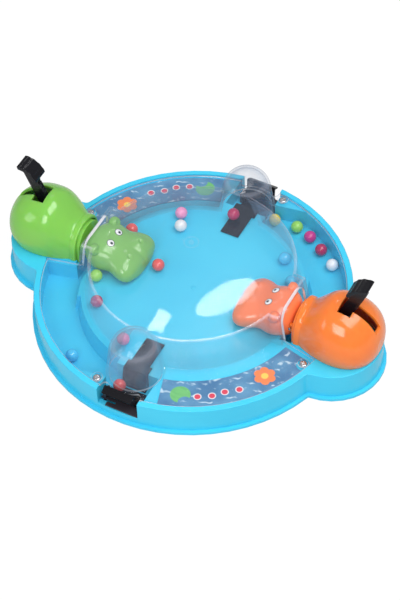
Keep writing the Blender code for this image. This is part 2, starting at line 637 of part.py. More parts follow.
def tray(sides):
    rings = [(0, FLANGE_REACH), (FLANGE_HEIGHT, FLANGE_REACH), (FLANGE_HEIGHT, 0),
             (RIM_HEIGHT - RIM_ROUNDING, 0), (RIM_HEIGHT, -RIM_ROUNDING)]
    shell = loft([[(x, y, z) for x, y in tray_outline(grow)] for z, grow in rings])
    body = piece("tray", shell, "tray_blue")
    top = RIM_HEIGHT + OVERRUN
    band = FIELD_HEIGHT - FIELD_BAND_DEPTH
    field = cut(body, turned([
        (0, FIELD_HEIGHT), (FIELD_RADIUS, FIELD_HEIGHT),
        (FIELD_RADIUS + FIELD_STEP_WIDTH, FIELD_HEIGHT - FIELD_STEP_DEPTH),
        (FIELD_BAND_RADIUS, band), (FIELD_BAND_RADIUS + FIELD_BAND_DEPTH, FIELD_HEIGHT),
        (RIM_RADIUS - RIM_WIDTH, FIELD_HEIGHT), (RIM_RADIUS - RIM_WIDTH, top), (0, top)]))
    below = -OVERRUN
    core = cut(body, prism(tray_outline(-SHELL_WALL), below, FIELD_HEIGHT - ROOF_THICKNESS))
    trough_base = GUTTER_FLOOR - TROUGH_WALL
    for side in sides:
        shelf = wedge(SHELF_HALF_ANGLE, SHELF_FRONT, RIM_RADIUS)
        cut(field, prism(shelf, 0, top + OVERRUN), side)
        cut(core, prism(grown(gutter_outline(True), TROUGH_WALL), trough_base, RIM_HEIGHT), side)
        cut(core, block((-POCKET_LEFT - TROUGH_WALL, POCKET_INNER - TROUGH_WALL, trough_base),
                        (POCKET_RIGHT + TROUGH_WALL, RIM_RADIUS, RIM_HEIGHT)), side)
    for side in sides:
        gutter = [[(x, y, z) for x, y in gutter_outline(z < FIELD_HEIGHT)]
                  for z in (GUTTER_FLOOR, top)]
        cut(body, loft(gutter), side)
        cut(body, block((-POCKET_LEFT, POCKET_INNER, GUTTER_FLOOR),
                        (POCKET_RIGHT, GUTTER_OUTER, top)), side)
        cut(body, block((-NOTCH_HALF_WIDTH, GUTTER_OUTER - OVERRUN, NOTCH_FLOOR),
                        (NOTCH_HALF_WIDTH, RIM_RADIUS + OVERRUN, top)), side)
        cut(body, block((SHELF_FRONT - OVERRUN, -CHANNEL_HALF_WIDTH, FIELD_HEIGHT),
                        (CHANNEL_END, CHANNEL_HALF_WIDTH, top)), side)
        post = arc((PIVOT_X, PIVOT_HEIGHT), POST_RADIUS, 0, pi, 8)
        roof = FIELD_HEIGHT - ROOF_THICKNESS / 2
        post += [(PIVOT_X - POST_RADIUS, roof), (PIVOT_X + POST_RADIUS, roof)]
        spigot_top = FIELD_HEIGHT + SPIGOT_HEIGHT
        join(body, merged(side_prism(post, POST_INNER, POST_OUTER),
                          side_prism(post, -POST_OUTER, -POST_INNER),
                          rod(SPIGOT_RADIUS, roof, spigot_top, (spring_x(), 0))), side)
        cut(body, rod(AXLE_RADIUS + GAP, -POST_OUTER - OVERRUN, POST_OUTER + OVERRUN,
                      (PIVOT_X, PIVOT_HEIGHT), "Y"), side)
        bosses = []
        pilots = []
        for place in screw_places()[:2]:
            bosses.append(rod(TRAY_BOSS_RADIUS, FIELD_HEIGHT - TRAY_BOSS_DEPTH,
                              FIELD_HEIGHT - ROOF_THICKNESS / 2, place))
            pilots.append(rod(SCREW_SHANK_RADIUS + GAP, FIELD_HEIGHT - COVER_SCREW_LENGTH + GAP,
                              top, place))
        for place in body_screw_places():
            pilots.append(rod(SCREW_SHANK_RADIUS + GAP, 0, top, place))
        join(body, merged(*bosses), side)
        cut(body, merged(*pilots), side)
    return body


def spring_x():
    """The spring stands under the heel, which is level at mid travel."""
    return PIVOT_X + HEEL_REACH * cos(LEVER_TRAVEL / 2)


def dome_profile(inset):
    """The round wall and roof of the cover, or its inner face."""
    low = PLATE_TOP if inset == 0 else PLATE_BOTTOM - OVERRUN
    return [(0, low), (DOME_BASE_RADIUS - inset, low), (DOME_BASE_RADIUS - inset, PLATE_TOP),
            (DOME_SHOULDER_RADIUS - inset, DOME_SHOULDER_HEIGHT - inset),
            (DOME_TOP_RADIUS - inset, DOME_TOP_HEIGHT - inset), (0, DOME_CROWN_HEIGHT - inset)]


def bulge_profile(inset):
    """The tall round hood over a launcher, or its inner face."""
    low = PLATE_TOP if inset == 0 else PLATE_BOTTOM - 3 * OVERRUN
    cap = arc((0, BULGE_CAP_HEIGHT), BULGE_CAP_RADIUS - inset, BULGE_CAP_START, pi / 2, 6)
    base = BULGE_BASE_RADIUS - inset
    return [(0, low), (base, low), (base, PLATE_TOP)] + cap[:-1] + [(0, cap[-1][1])]


def arch_rings(inset):
    """Cross-sections of the square tunnel round a neck, from the dome to its front wall."""
    low = PLATE_BOTTOM - 2 * OVERRUN if inset else (PLATE_TOP + PLATE_BOTTOM) / 2
    top = ARCH_HEIGHT - inset
    base_half = ARCH_BASE_HALF_WIDTH - inset
    top_half = ARCH_TOP_HALF_WIDTH - inset
    corner = ARCH_CORNER - inset / 2
    section = [(base_half, low), (base_half, PLATE_TOP)]
    section += arc((top_half - corner, top - corner), corner, 0, pi / 2, 4)
    section += [(-y, z) for y, z in reversed(section)]
    lean = ARCH_LEAN / (ARCH_HEIGHT - PLATE_TOP)
    rings = [[(ARCH_ROOT, y, z) for y, z in section]]
    rings.append([(ARCH_FOOT - inset - lean * (z - PLATE_TOP), y, z) for y, z in section])
    return rings


def arch_opening():
    """The rounded doorway in the front wall of a tunnel, down through the plate."""
    corner = ARCH_OPENING_CORNER
    half = [(ARCH_OPENING_HALF_WIDTH, PLATE_BOTTOM - 4 * OVERRUN)]
    half += arc((ARCH_OPENING_HALF_WIDTH - corner, ARCH_OPENING_TOP - corner), corner, 0, pi / 2, 5)
    return half + [(-y, z) for y, z in reversed(half)]


def cover_bulge(inset):
    return turned(bulge_profile(inset), (0, BULGE_CENTRE), BULGE_SEGMENTS)


def cover_screw_hole(place):
    """A shank hole that widens to take the screw's head above the plate."""
    shank, head_room = SCREW_SHANK_RADIUS + GAP, SCREW_HEAD_RADIUS + GAP
    top = RIM_HEIGHT + OVERRUN
    return turned([(0, 0), (shank, 0), (shank, PLATE_TOP), (head_room, PLATE_TOP),
                   (head_room, top), (0, top)], place, HUB_SEGMENTS)


def plate_notch():
    """Plan of the cut in the plate at a launcher: round the hood's foot and out to the rim."""
    radius = BULGE_BASE_RADIUS + HOOD_FLANGE
    side = NOTCH_HALF_WIDTH - GAP
    corner_x = side - PLATE_NOTCH_CORNER
    foot_angle = acos(corner_x / radius)
    corner_y = BULGE_CENTRE + radius * sin(foot_angle) + PLATE_NOTCH_CORNER
    half = [(side, RIM_RADIUS)]
    half += arc((corner_x, corner_y), PLATE_NOTCH_CORNER, 0, -pi / 2, 4)
    half += arc((0, BULGE_CENTRE), radius, foot_angle, pi / 2, 5)[1:]
    return half + [(-x, y) for x, y in reversed(half[:-1])]


def clear_cover(sides):
    edge = RIM_RADIUS - RIM_WIDTH - GAP
    plate = turned([(0, PLATE_BOTTOM), (edge, PLATE_BOTTOM), (edge, PLATE_TOP), (0, PLATE_TOP)])
    cover = piece("clear_cover", plate, "clear")
    join(cover, turned(dome_profile(0)))
    for side in sides:
        join(cover, loft(arch_rings(0)), side)
        join(cover, cover_bulge(0), side)
    rings = [rod(COVER_SCREW_RING_RADIUS, PLATE_BOTTOM + GAP, PLATE_TOP + COVER_SCREW_RING_HEIGHT,
                 place, segments=HUB_SEGMENTS) for place in screw_places()]
    join(cover, merged(*rings))
    hollow = cut(cover, turned(dome_profile(COVER_WALL)))
    for side in sides:
        join(hollow, loft(arch_rings(COVER_WALL)), side)
        join(hollow, cover_bulge(COVER_WALL), side)
        join(hollow, front_prism(arch_opening(), ARCH_ROOT + OVERRUN, ARCH_FOOT + OVERRUN), side)
    for side in sides:
        cut_out = wedge(PLATE_CUT_HALF_ANGLE, ARCH_FOOT + GAP, RIM_RADIUS + OVERRUN)
        cut(cover, prism(cut_out, 0, DOME_CROWN_HEIGHT), side)
        cut(cover, prism(plate_notch(), 0, RIM_HEIGHT), side)
    cut(cover, merged(*[cover_screw_hole(place) for place in screw_places()]))
    return cover


def screw(place, seat, length, upwards=False):
    """A pan-head screw with a hexagonal driver recess; it goes down, or up from below."""
    recess = SCREW_HEAD_HEIGHT - SCREW_RECESS_DEPTH
    bm = turned([(0, -length), (SCREW_SHANK_RADIUS, -length), (SCREW_SHANK_RADIUS, 0),
                 (SCREW_HEAD_RADIUS, 0), (SCREW_HEAD_RADIUS * SCREW_CROWN_SHARE, SCREW_HEAD_HEIGHT),
                 (SCREW_RECESS_RADIUS, SCREW_HEAD_HEIGHT), (SCREW_RECESS_RADIUS, recess),
                 (0, recess)], segments=SMALL_SEGMENTS)
    if upwards:
        bmesh.ops.rotate(bm, verts=bm.verts, cent=(0, 0, 0), matrix=Matrix.Rotation(pi, 3, "X"))
    bmesh.ops.translate(bm, verts=bm.verts, vec=(place[0], place[1], seat))
    return bm


def label(name, side):
    """A printed sheet that fills a quarter of the plate's underside, round its screw."""
    end = -PLATE_CUT_HALF_ANGLE - LABEL_END_GAP
    outline = arc((0, 0), LABEL_OUTER, -acos(LABEL_START_OUTER_X / LABEL_OUTER), end, 14)
    outline += arc((0, 0), LABEL_INNER, end, -acos(LABEL_START_INNER_X / LABEL_INNER), 14)
    low = FIELD_HEIGHT + GAP
    sheet = piece(name, prism(outline, low, low + LABEL_THICKNESS), "print", side)
    cut(sheet, rod(COVER_SCREW_RING_RADIUS + LABEL_SCREW_BORDER, 0, RIM_HEIGHT, screw_places()[0],
                   segments=HUB_SEGMENTS))
    return sheet


def egg(distance, reach, power):
    """Share of full size behind the fullest section, 0 at the end of its reach."""
    share = min(max(distance / reach, 0), 1)
    return (1 - share ** power) ** (1 / power)


def fullness(x, reach, ease):
    """0 up to the collar's rear and 1 from the fullest section on."""
    share = (x - BODY_FRONT - BODY_THROAT_REACH) / (reach - BODY_THROAT_REACH)
    return sin(pi / 2 * min(max(share, 0), 1)) ** ease


def rounded_section(x, half_width, half_height, middle, power, points):
    """A ring of points at x: an oval that is squarer with a higher power."""
    ring = []
    for i in range(points):
        across, rise = cos(2 * pi * i / points), sin(2 * pi * i / points)
        ring.append((x, half_width * copysign(abs(across) ** (2 / power), across),
                     middle + half_height * copysign(abs(rise) ** (2 / power), rise)))
    return ring


def body_ring(x, inset):
    """A section of the body shell at x, or of its inner face: narrow and square at the collar."""
    wide = fullness(x, BODY_WIDEST_REACH, 1)
    tall = fullness(x, BODY_TALLEST_REACH, BODY_EASE)
    width = THROAT_HALF_WIDTH + (BODY_HALF_WIDTH - THROAT_HALF_WIDTH) * wide - inset
    centre = THROAT_CENTRE + (BODY_CENTRE_HEIGHT - THROAT_CENTRE) * tall
    full_top = BODY_CENTRE_HEIGHT + BODY_HALF_HEIGHT
    height = THROAT_TOP + (full_top - THROAT_TOP) * tall - inset - centre
    width *= egg(x - BODY_WIDEST, BODY_REAR - BODY_WIDEST - inset, BODY_WIDTH_POWER)
    height *= egg(x - BODY_TALLEST, BODY_REAR - BODY_TALLEST - inset, BODY_HEIGHT_POWER)
    return rounded_section(x, max(width, GAP), max(height, GAP), centre,
                           BODY_THROAT_POWER + (2 - BODY_THROAT_POWER) * wide, BODY_POINTS)


def body_loft(start, end, inset):
    """Sections close together near the blunt rear end, at like places inside and out."""
    rings = []
    for i in range(BODY_RINGS + 1):
        share = sin(pi / 2 * i / BODY_RINGS)
        rings.append(body_ring(max(start, BODY_FRONT + (end - BODY_FRONT) * share), inset))
    return loft(rings)


def neck_section(half_width, low, top):
    """A round-topped doorway outline as (y, z)."""
    half = [(half_width, low), (half_width, NECK_ROUND_HEIGHT)]
    for i in range(1, 6):
        angle = pi / 2 * i / 6
        half.append((half_width * cos(angle),
                     NECK_ROUND_HEIGHT + (top - NECK_ROUND_HEIGHT) * sin(angle)))
    return half + [(0, top)] + [(-y, z) for y, z in reversed(half)]


def body_shell(name, colour, side):
    shell = piece(name, body_loft(BODY_FRONT, BODY_REAR - GAP, 0), colour, side)
    ring = [(COLLAR_CHAMFER, 0), (0, COLLAR_CHAMFER), (0, COLLAR_LENGTH - COLLAR_CHAMFER),
            (COLLAR_CHAMFER, COLLAR_LENGTH)]
    sections = []
    for inset, along in ring:
        sections.append(rounded_section(BODY_FRONT + along, COLLAR_HALF_WIDTH - inset,
                                        COLLAR_TOP - THROAT_CENTRE - inset, THROAT_CENTRE,
                                        BODY_THROAT_POWER, COLLAR_POINTS))
    join(shell, loft(sections))
    cut(shell, body_loft(BODY_FRONT + BODY_FRONT_WALL, BODY_REAR - BODY_WALL - GAP, BODY_WALL))
    bosses = [rod(BODY_BOSS_RADIUS, RIM_HEIGHT + GAP, RIM_HEIGHT + BODY_BOSS_HEIGHT, place)
              for place in body_screw_places()]
    join(shell, merged(*bosses))
    clearance = NECK_OPENING_CLEARANCE
    doorway = neck_section(NECK_HALF_WIDTH + clearance, 0, NECK_TOP + clearance)
    cut(shell, front_prism(doorway, BODY_FRONT - OVERRUN, BODY_FRONT + COLLAR_DOOR_DEPTH))
    top = BODY_CENTRE_HEIGHT + BODY_HALF_HEIGHT + OVERRUN
    cut(shell, block((SLOT_INNER, -SLOT_WIDE_HALF_WIDTH, BODY_CENTRE_HEIGHT),
                     (SLOT_WIDE_END, SLOT_WIDE_HALF_WIDTH, top)))
    cut(shell, block((SLOT_WIDE_END - GAP, -SLOT_NARROW_HALF_WIDTH, SLOT_END_HEIGHT),
                     (BODY_REAR + OVERRUN, SLOT_NARROW_HALF_WIDTH, top)))
    cut(shell, block((0, -RIM_RADIUS, -RIM_RADIUS), (2 * RIM_RADIUS, RIM_RADIUS, RIM_HEIGHT + GAP)))
    for place in body_screw_places():
        cut(shell, rod(SCREW_SHANK_RADIUS + GAP, 0, screw_tip() + GAP, place))
    return shell


def screw_tip():
    """Highest point of a body screw, which comes up through the tray's roof."""
    return FIELD_HEIGHT - ROOF_THICKNESS - GAP + BODY_SCREW_LENGTH


def direction(lean):
    """A unit step in the XZ plane that leans outwards from straight up."""
    return Vector((sin(lean), cos(lean)))


def bar(start, end, half_depth):
    """A straight bar outline as (x, z) between two points."""
    start, end = Vector(start), Vector(end)
    along = (end - start).normalized()
    across = Vector((-along.y, along.x)) * half_depth
    return [tuple(start - across), tuple(end - across), tuple(end + across), tuple(start + across)]


def shank_top():
    """Where the shank ends under its thumb pad, from the pivot."""
    return tuple(direction(SHANK_LEAN) * SHANK_LENGTH)


def pad_outline():
    """A curved thumb pad with small ridges across its outer face."""
    outer = PAD_ARC_RADIUS
    inner = outer - PAD_THICKNESS
    x, z = shank_top()
    centre = (x + PAD_ARC_AHEAD, z - PAD_ARC_DROP)
    points = []
    steps = 4 * PAD_RIDGES
    for i in range(steps + 1):
        angle = PAD_ARC_START + (PAD_ARC_END - PAD_ARC_START) * i / steps
        radius = outer + (PAD_RIDGE_RADIUS if i % 4 == 2 else 0)
        points.append((centre[0] + radius * cos(angle), centre[1] + radius * sin(angle)))
    points += arc(centre, inner, PAD_ARC_END, PAD_ARC_START, 8)
    return points


def lever(name, side):
    """Modelled about its own pivot, which is its joint axis."""
    pivot = (PIVOT_X, 0, PIVOT_HEIGHT)
    hub = rod(HUB_RADIUS, -HUB_HALF_WIDTH, HUB_HALF_WIDTH, (0, 0), "Y", HUB_SEGMENTS)
    arm = piece(name, hub, "black", side, pivot)
    half = LEVER_TRAVEL / 2
    finger = tuple(direction(pi - half) * FINGER_REACH)
    heel = tuple(direction(pi / 2 - half) * (HEEL_REACH + HEEL_HALF_WIDTH))
    shapes = [
        side_prism(bar((0, 0), shank_top(), SHANK_HALF_DEPTH), -SHANK_HALF_WIDTH, SHANK_HALF_WIDTH),
        side_prism(pad_outline(), -PAD_HALF_WIDTH, PAD_HALF_WIDTH),
        side_prism(bar((0, 0), finger, FINGER_RADIUS), -FINGER_HALF_WIDTH, FINGER_HALF_WIDTH),
        rod(FINGER_RADIUS, -FINGER_HALF_WIDTH, FINGER_HALF_WIDTH, finger, "Y"),
        side_prism(bar((0, 0), heel, HEEL_HALF_DEPTH), -HEEL_HALF_WIDTH, HEEL_HALF_WIDTH),
    ]
    for shape in shapes:
        join(arm, shape).location = pivot
    bore = rod(AXLE_RADIUS + GAP, -HUB_HALF_WIDTH - OVERRUN, HUB_HALF_WIDTH + OVERRUN, (0, 0), "Y")
    cut(arm, bore).location = pivot
    return arm


def return_spring(name, side):
    """A coil on its spigot, whose top end lies just under the heel at rest."""
    low = FIELD_HEIGHT + GAP + SPRING_WIRE_RADIUS
    heel_height = HEEL_REACH * sin(LEVER_TRAVEL / 2) - HEEL_HALF_DEPTH / cos(LEVER_TRAVEL / 2)
    slope = (SPRING_RADIUS + SPRING_WIRE_RADIUS) * tan(LEVER_TRAVEL / 2)
    high = PIVOT_HEIGHT + heel_height - slope - GAP - SPRING_WIRE_RADIUS
    curve = bpy.data.curves.new(name, "CURVE")
    curve.dimensions = "3D"
    curve.bevel_depth = SPRING_WIRE_RADIUS
    curve.bevel_resolution = 1
    curve.use_fill_caps = True
    steps = SPRING_STEPS * SPRING_TURNS
    wire = curve.splines.new("POLY")
    wire.points.add(steps)
    for i in range(steps + 1):
        angle = 2 * pi * i / SPRING_STEPS
        wire.points[i].co = (SPRING_RADIUS * cos(angle), SPRING_RADIUS * sin(angle),
                             (high - low) * i / steps, 1)
    spring = bpy.data.objects.new(name, curve)
    spring.parent = side
    spring.location = (spring_x(), 0, low)
    curve.materials.append(material("steel"))
    bpy.context.collection.objects.link(spring)
    return spring


def neck(name, colour, side):
    """A round-topped drum with lugs for the head in front and a slotted tail behind."""
    low = FIELD_HEIGHT + GAP
    drum = piece(name, front_prism(neck_section(NECK_HALF_WIDTH, low, NECK_TOP),
                                   NECK_FRONT, NECK_REAR), colour, side)
    hollow = neck_section(NECK_HALF_WIDTH - NECK_WALL, low + TAIL_THICKNESS, NECK_TOP - NECK_WALL)
    cut(drum, front_prism(hollow, NECK_FRONT + NECK_WALL, NECK_REAR + OVERRUN))
    slot_centre = PIVOT_X + FINGER_REACH * sin(LEVER_TRAVEL / 2)
    slot_half = FINGER_RADIUS + 2 * GAP + FINGER_RADIUS * tan(LEVER_TRAVEL / 2) / 2
    tail_end = slot_centre + slot_half + TAIL_BAR
    join(drum, block((NECK_REAR - NECK_WALL, -TAIL_HALF_WIDTH, low),
                     (tail_end, TAIL_HALF_WIDTH, low + TAIL_THICKNESS)))
    finger_half = FINGER_HALF_WIDTH + 2 * GAP
    cut(drum, block((slot_centre - slot_half, -finger_half, 0),
                    (slot_centre + slot_half, finger_half, PIVOT_HEIGHT)))
    lug = arc((HEAD_PIN_X, HEAD_PIN_HEIGHT), LUG_RADIUS, pi / 2, 3 * pi / 2, 8)
    lug += [(NECK_FRONT + NECK_WALL / 2, HEAD_PIN_HEIGHT - LUG_RADIUS),
            (NECK_FRONT + NECK_WALL / 2, HEAD_PIN_HEIGHT + LUG_RADIUS)]
    join(drum, merged(side_prism(lug, LUG_INNER, LUG_OUTER), side_prism(lug, -LUG_OUTER, -LUG_INNER)))
    cut(drum, rod(HEAD_PIN_RADIUS + GAP, -LUG_OUTER - OVERRUN, LUG_OUTER + OVERRUN,
                  (HEAD_PIN_X, HEAD_PIN_HEIGHT), "Y"))
    return drum


def head_sections():
    """Distance along X, half width and top height of each section, from rear to lip."""
    return [(HEAD_REAR - HEAD_LENGTH * along, HEAD_HALF_WIDTH * across, HEAD_BOTTOM + HEAD_HEIGHT * up)
            for along, across, up in zip(HEAD_PLACE_SHARES, HEAD_WIDTH_SHARES, HEAD_HEIGHT_SHARES)]


def chin_height(x):
    """The underside lifts in front of the mouth, to pass over a bean on the field."""
    share = (CHIN_FRONT + CHIN_SLOPE - x) / CHIN_SLOPE
    return HEAD_BOTTOM + CHIN_RECESS * min(max(share, 0), 1)


def head_ring(x, half_width, top, bottom, inset=0):
    """A section of the head: flat below, full at the sides and round above."""
    middle = bottom + (top - bottom) * HEAD_MIDDLE_SHARE
    width = half_width - inset
    height = top - inset - middle
    cleft = min(max(1 - (x - HEAD_LIP) / SNOUT_CLEFT_LENGTH, 0), 1)
    ring = []
    for i in range(HEAD_POINTS):
        angle = -pi / 2 + 2 * pi * (i + 0.5) / HEAD_POINTS
        u, v = cos(angle), sin(angle)
        y = width * abs(u) ** (2 / HEAD_POWER) * (1 if u >= 0 else -1)
        if v < 0:
            z = middle - (middle - bottom) * min(abs(v) / HEAD_FLAT_SHARE, 1)
        else:
            dip = max(1 - abs(y) / SNOUT_CLEFT_HALF_WIDTH, 0)
            z = middle + height * v ** (2 / HEAD_POWER) - SNOUT_CLEFT_DEPTH * cleft * dip
        ring.append((x - HEAD_PIN_X, y, z - HEAD_PIN_HEIGHT))
    return ring


def head(name, colour, side):
    """Modelled about the pin that carries it, which is its joint axis."""
    pin = (HEAD_PIN_X, 0, HEAD_PIN_HEIGHT)
    sections = head_sections()
    outside = [head_ring(x, half, top, chin_height(x)) for x, half, top in sections]
    shell = piece(name, loft(outside), colour, side, pin)
    for sign in (1, -1):
        ear = bmesh.new()
        bmesh.ops.create_icosphere(ear, subdivisions=2, radius=EAR_RADIUS)
        bmesh.ops.translate(ear, verts=ear.verts, vec=(EAR_X - HEAD_PIN_X, sign * EAR_Y,
                                                       EAR_HEIGHT - HEAD_PIN_HEIGHT))
        join(shell, ear).location = pin
    mouth = [head_ring(x, half, top, HEAD_BOTTOM - OVERRUN, HEAD_WALL)
             for x, half, top in sections[MOUTH_FIRST_SECTION:MOUTH_LAST_SECTION + 1]]
    cut(shell, loft(mouth)).location = pin
    room = LUG_RADIUS + 2 * GAP
    rear = HEAD_REAR - HEAD_PIN_X + OVERRUN
    for sign in (1, -1):
        sides = sorted((sign * (LUG_INNER - GAP), sign * (LUG_OUTER + GAP)))
        cut(shell, block((-room, sides[0], -room), (rear, sides[1], room))).location = pin
    cut(shell, rod(HEAD_PIN_RADIUS + GAP, -HEAD_PIN_HALF_LENGTH - GAP, HEAD_PIN_HALF_LENGTH + GAP,
                   (0, 0), "Y")).location = pin
    return shell


def launcher_ramp(name, side):
    """A flat tongue on the field that turns down into the pocket as a steep slope."""
    low = FIELD_HEIGHT + GAP
    top = low + RAMP_THICKNESS
    tongue = piece(name, block((-RAMP_HALF_WIDTH, RAMP_TONGUE_END, low),
                               (RAMP_HALF_WIDTH, RAMP_WIDE_START + OVERRUN, top)), "black", side)
    wall = POCKET_INNER + GAP
    slope = [(RAMP_WIDE_START, low), (wall, low), (wall, GUTTER_FLOOR + GAP),
             (RAMP_FOOT, GUTTER_FLOOR + GAP), (RAMP_LIP, top), (RAMP_WIDE_START, top)]
    join(tongue, front_prism(slope, -RAMP_WIDE_HALF_WIDTH, RAMP_WIDE_HALF_WIDTH))
    return tongue


def launcher_cradle(name, side):
    """Two cheeks that hold the pin, on a plate that lies in the rim's notch."""
    plate_low = NOTCH_FLOOR + GAP
    half = NOTCH_HALF_WIDTH - GAP
    cheek_start = LAUNCHER_PIVOT_Y - CRADLE_CHEEK_REACH_IN
    cheek_end = LAUNCHER_PIVOT_Y + CRADLE_CHEEK_REACH_OUT
    plate = block((-half, cheek_end - CRADLE_CHEEK_THICKNESS, plate_low),
                  (half, RIM_RADIUS - CRADLE_PLATE_SET_IN, plate_low + CRADLE_PLATE_THICKNESS))
    cradle = piece(name, plate, "black", side)
    inner, outer = CRADLE_INNER_HALF_WIDTH, CRADLE_OUTER_HALF_WIDTH
    for low, high in ((inner, outer), (-outer, -inner)):
        join(cradle, block((low, cheek_start, GUTTER_FLOOR + GAP),
                           (high, cheek_end, LAUNCHER_PIVOT_HEIGHT + CRADLE_CHEEK_RISE)))
    cut(cradle, rod(LAUNCHER_PIN_RADIUS + GAP, -RIM_RADIUS, RIM_RADIUS,
                    (LAUNCHER_PIVOT_Y, LAUNCHER_PIVOT_HEIGHT), "X"))
    return cradle


def launcher_lever(name, side):
    """Finger tab, web, hub and spoon, modelled about the pin."""
    pivot = (0, LAUNCHER_PIVOT_Y, LAUNCHER_PIVOT_HEIGHT)
    half = LAUNCHER_HALF_WIDTH
    hub = rod(LAUNCHER_HUB_RADIUS, -half, half, (0, 0), "X", HUB_SEGMENTS)
    arm = piece(name, hub, "black", side, pivot)
    thin = LAUNCHER_ARM_THICKNESS / 2
    thick = SPOON_THICKNESS / 2
    spoon_height = GUTTER_FLOOR + GAP + thick
    route = [((TAB_OUTER_Y, TAB_OUTER_HEIGHT), (TAB_BEND_Y, TAB_BEND_HEIGHT), thin),
             ((TAB_BEND_Y, TAB_BEND_HEIGHT + thin), (WEB_FOOT_Y, WEB_FOOT_HEIGHT), thin),
             ((WEB_FOOT_Y, WEB_FOOT_HEIGHT + thin), (LAUNCHER_PIVOT_Y, LAUNCHER_PIVOT_HEIGHT), thin),
             ((LAUNCHER_PIVOT_Y, LAUNCHER_PIVOT_HEIGHT), (SPOON_HEEL, spoon_height), thin),
             ((SPOON_HEEL + thick, spoon_height), (SPOON_TIP, spoon_height), thick)]
    for start, end, depth in route:
        shape = front_prism(bar(start, end, depth), -half, half)
        bmesh.ops.translate(shape, verts=shape.verts, vec=-Vector(pivot))
        join(arm, shape).location = pivot
    cut(arm, rod(LAUNCHER_PIN_RADIUS + GAP, -half - OVERRUN, half + OVERRUN,
                 (0, 0), "X")).location = pivot
    return arm


def bean(name, colour, place, side=None):
    """One round bean, whose object stands at its centre."""
    bm = bmesh.new()
    bmesh.ops.create_uvsphere(bm, u_segments=BEAN_SEGMENTS, v_segments=BEAN_RINGS, radius=BEAN_RADIUS)
    return piece(name, bm, f"bean_{colour}", side, place)


def gutter_place(across, along):
    """Plan place in the gutter on the +X, +Y side, as shares of its width and its length."""
    radius = GUTTER_INNER_FLOOR + (GUTTER_OUTER - GUTTER_INNER_FLOOR) * across
    end = acos(POCKET_RIGHT / radius)
    return polar(radius, GUTTER_START + (end - GUTTER_START) * along)


def field_bean_places():
    """Colour and plan place of each bean on the play field."""
    reach = DOME_BASE_RADIUS - COVER_WALL - BEAN_RADIUS - BEAN_WALL_CLEARANCE
    places = [("coral", (LIP_BEAN_AHEAD - HEAD_LIP, LIP_BEAN_ASIDE))]
    for colour, side, gap in (("coral", 1, CORAL_BEAN_SIDE_GAP), ("lime", -1, LIME_BEAN_SIDE_GAP)):
        aside = HEAD_HALF_WIDTH + gap
        places.append((colour, (-sqrt(reach ** 2 - aside ** 2), side * aside)))
    for colour, shares in FIELD_BEAN_SHARES.items():
        places += [(colour, polar(share * reach, radians(degrees))) for share, degrees in shares]
    return places


def bean_spots():
    """Colour, plan place and floor height of each bean that lies in the tray."""
    spots = []
    for colour, place in field_bean_places():
        step = FIELD_STEP_DEPTH if Vector(place).length > FIELD_RADIUS else 0
        spots.append((colour, place, FIELD_HEIGHT - step))
    ramp_top = FIELD_HEIGHT + GAP + RAMP_THICKNESS
    for colour, places in RAMP_BEAN_SHARES.items():
        for across, along in places:
            y = RAMP_TONGUE_END + (RAMP_WIDE_START - RAMP_TONGUE_END) * along
            spots.append((colour, (RAMP_HALF_WIDTH * across, y), ramp_top))
    for colour, shares in GUTTER_BEAN_SHARES.items():
        spots.append((colour, gutter_place(*shares), GUTTER_FLOOR))
    for colour, shares in TURNED_GUTTER_BEAN_SHARES.items():
        spots += [(colour, place, GUTTER_FLOOR) for place in half_turned([gutter_place(*shares)])]
    return spots


def beans():
    used = {}
    for colour, (x, y), floor in bean_spots():
        used[colour] = used.get(colour, 0) + 1
        bean(f"bean_{colour}_{used[colour]}", colour, (x, y, floor + GAP + BEAN_RADIUS))


def loaded_bean(name, side):
    """The bean that waits on a spoon and rides with it."""
    across, along = SPOON_BEAN_SHARES
    spoon_top = GUTTER_FLOOR + GAP + SPOON_THICKNESS
    place = (LAUNCHER_HALF_WIDTH * across, SPOON_TIP + (SPOON_HEEL - SPOON_TIP) * along,
             spoon_top + GAP + BEAN_RADIUS)
    return bean(name, "coral", place, side)


def hippo(colour, side):
    body_shell(f"{colour}_body_shell", colour, side)
    lever(f"{colour}_lever", side)
    piece(f"{colour}_lever_axle", rod(AXLE_RADIUS, -AXLE_HALF_LENGTH, AXLE_HALF_LENGTH,
                                      (PIVOT_X, PIVOT_HEIGHT), "Y"), "steel", side)
    return_spring(f"{colour}_return_spring", side)
    neck(f"{colour}_neck", colour, side)
    piece(f"{colour}_head_pin", rod(HEAD_PIN_RADIUS, -HEAD_PIN_HALF_LENGTH, HEAD_PIN_HALF_LENGTH,
                                    (HEAD_PIN_X, HEAD_PIN_HEIGHT), "Y"), "steel", side)
    head(f"{colour}_head", colour, side)
    seat = FIELD_HEIGHT - ROOF_THICKNESS - GAP
    for number, place in enumerate(body_screw_places(), 1):
        piece(f"{colour}_body_screw_{number}", screw(place, seat, BODY_SCREW_LENGTH, True), "steel", side)


def launcher(end, side):
    launcher_ramp(f"{end}_launcher_ramp", side)
    launcher_cradle(f"{end}_launcher_cradle", side)
    piece(f"{end}_launcher_pin", rod(LAUNCHER_PIN_RADIUS, -LAUNCHER_PIN_HALF_LENGTH,
                                     LAUNCHER_PIN_HALF_LENGTH,
                                     (LAUNCHER_PIVOT_Y, LAUNCHER_PIVOT_HEIGHT), "X"), "steel", side)
    launcher_lever(f"{end}_launcher_lever", side)


def side_frame(name, turn):
    frame = bpy.data.objects.new(name, None)
    frame.rotation_euler = (0, 0, turn)
    bpy.context.collection.objects.link(frame)
    return frame


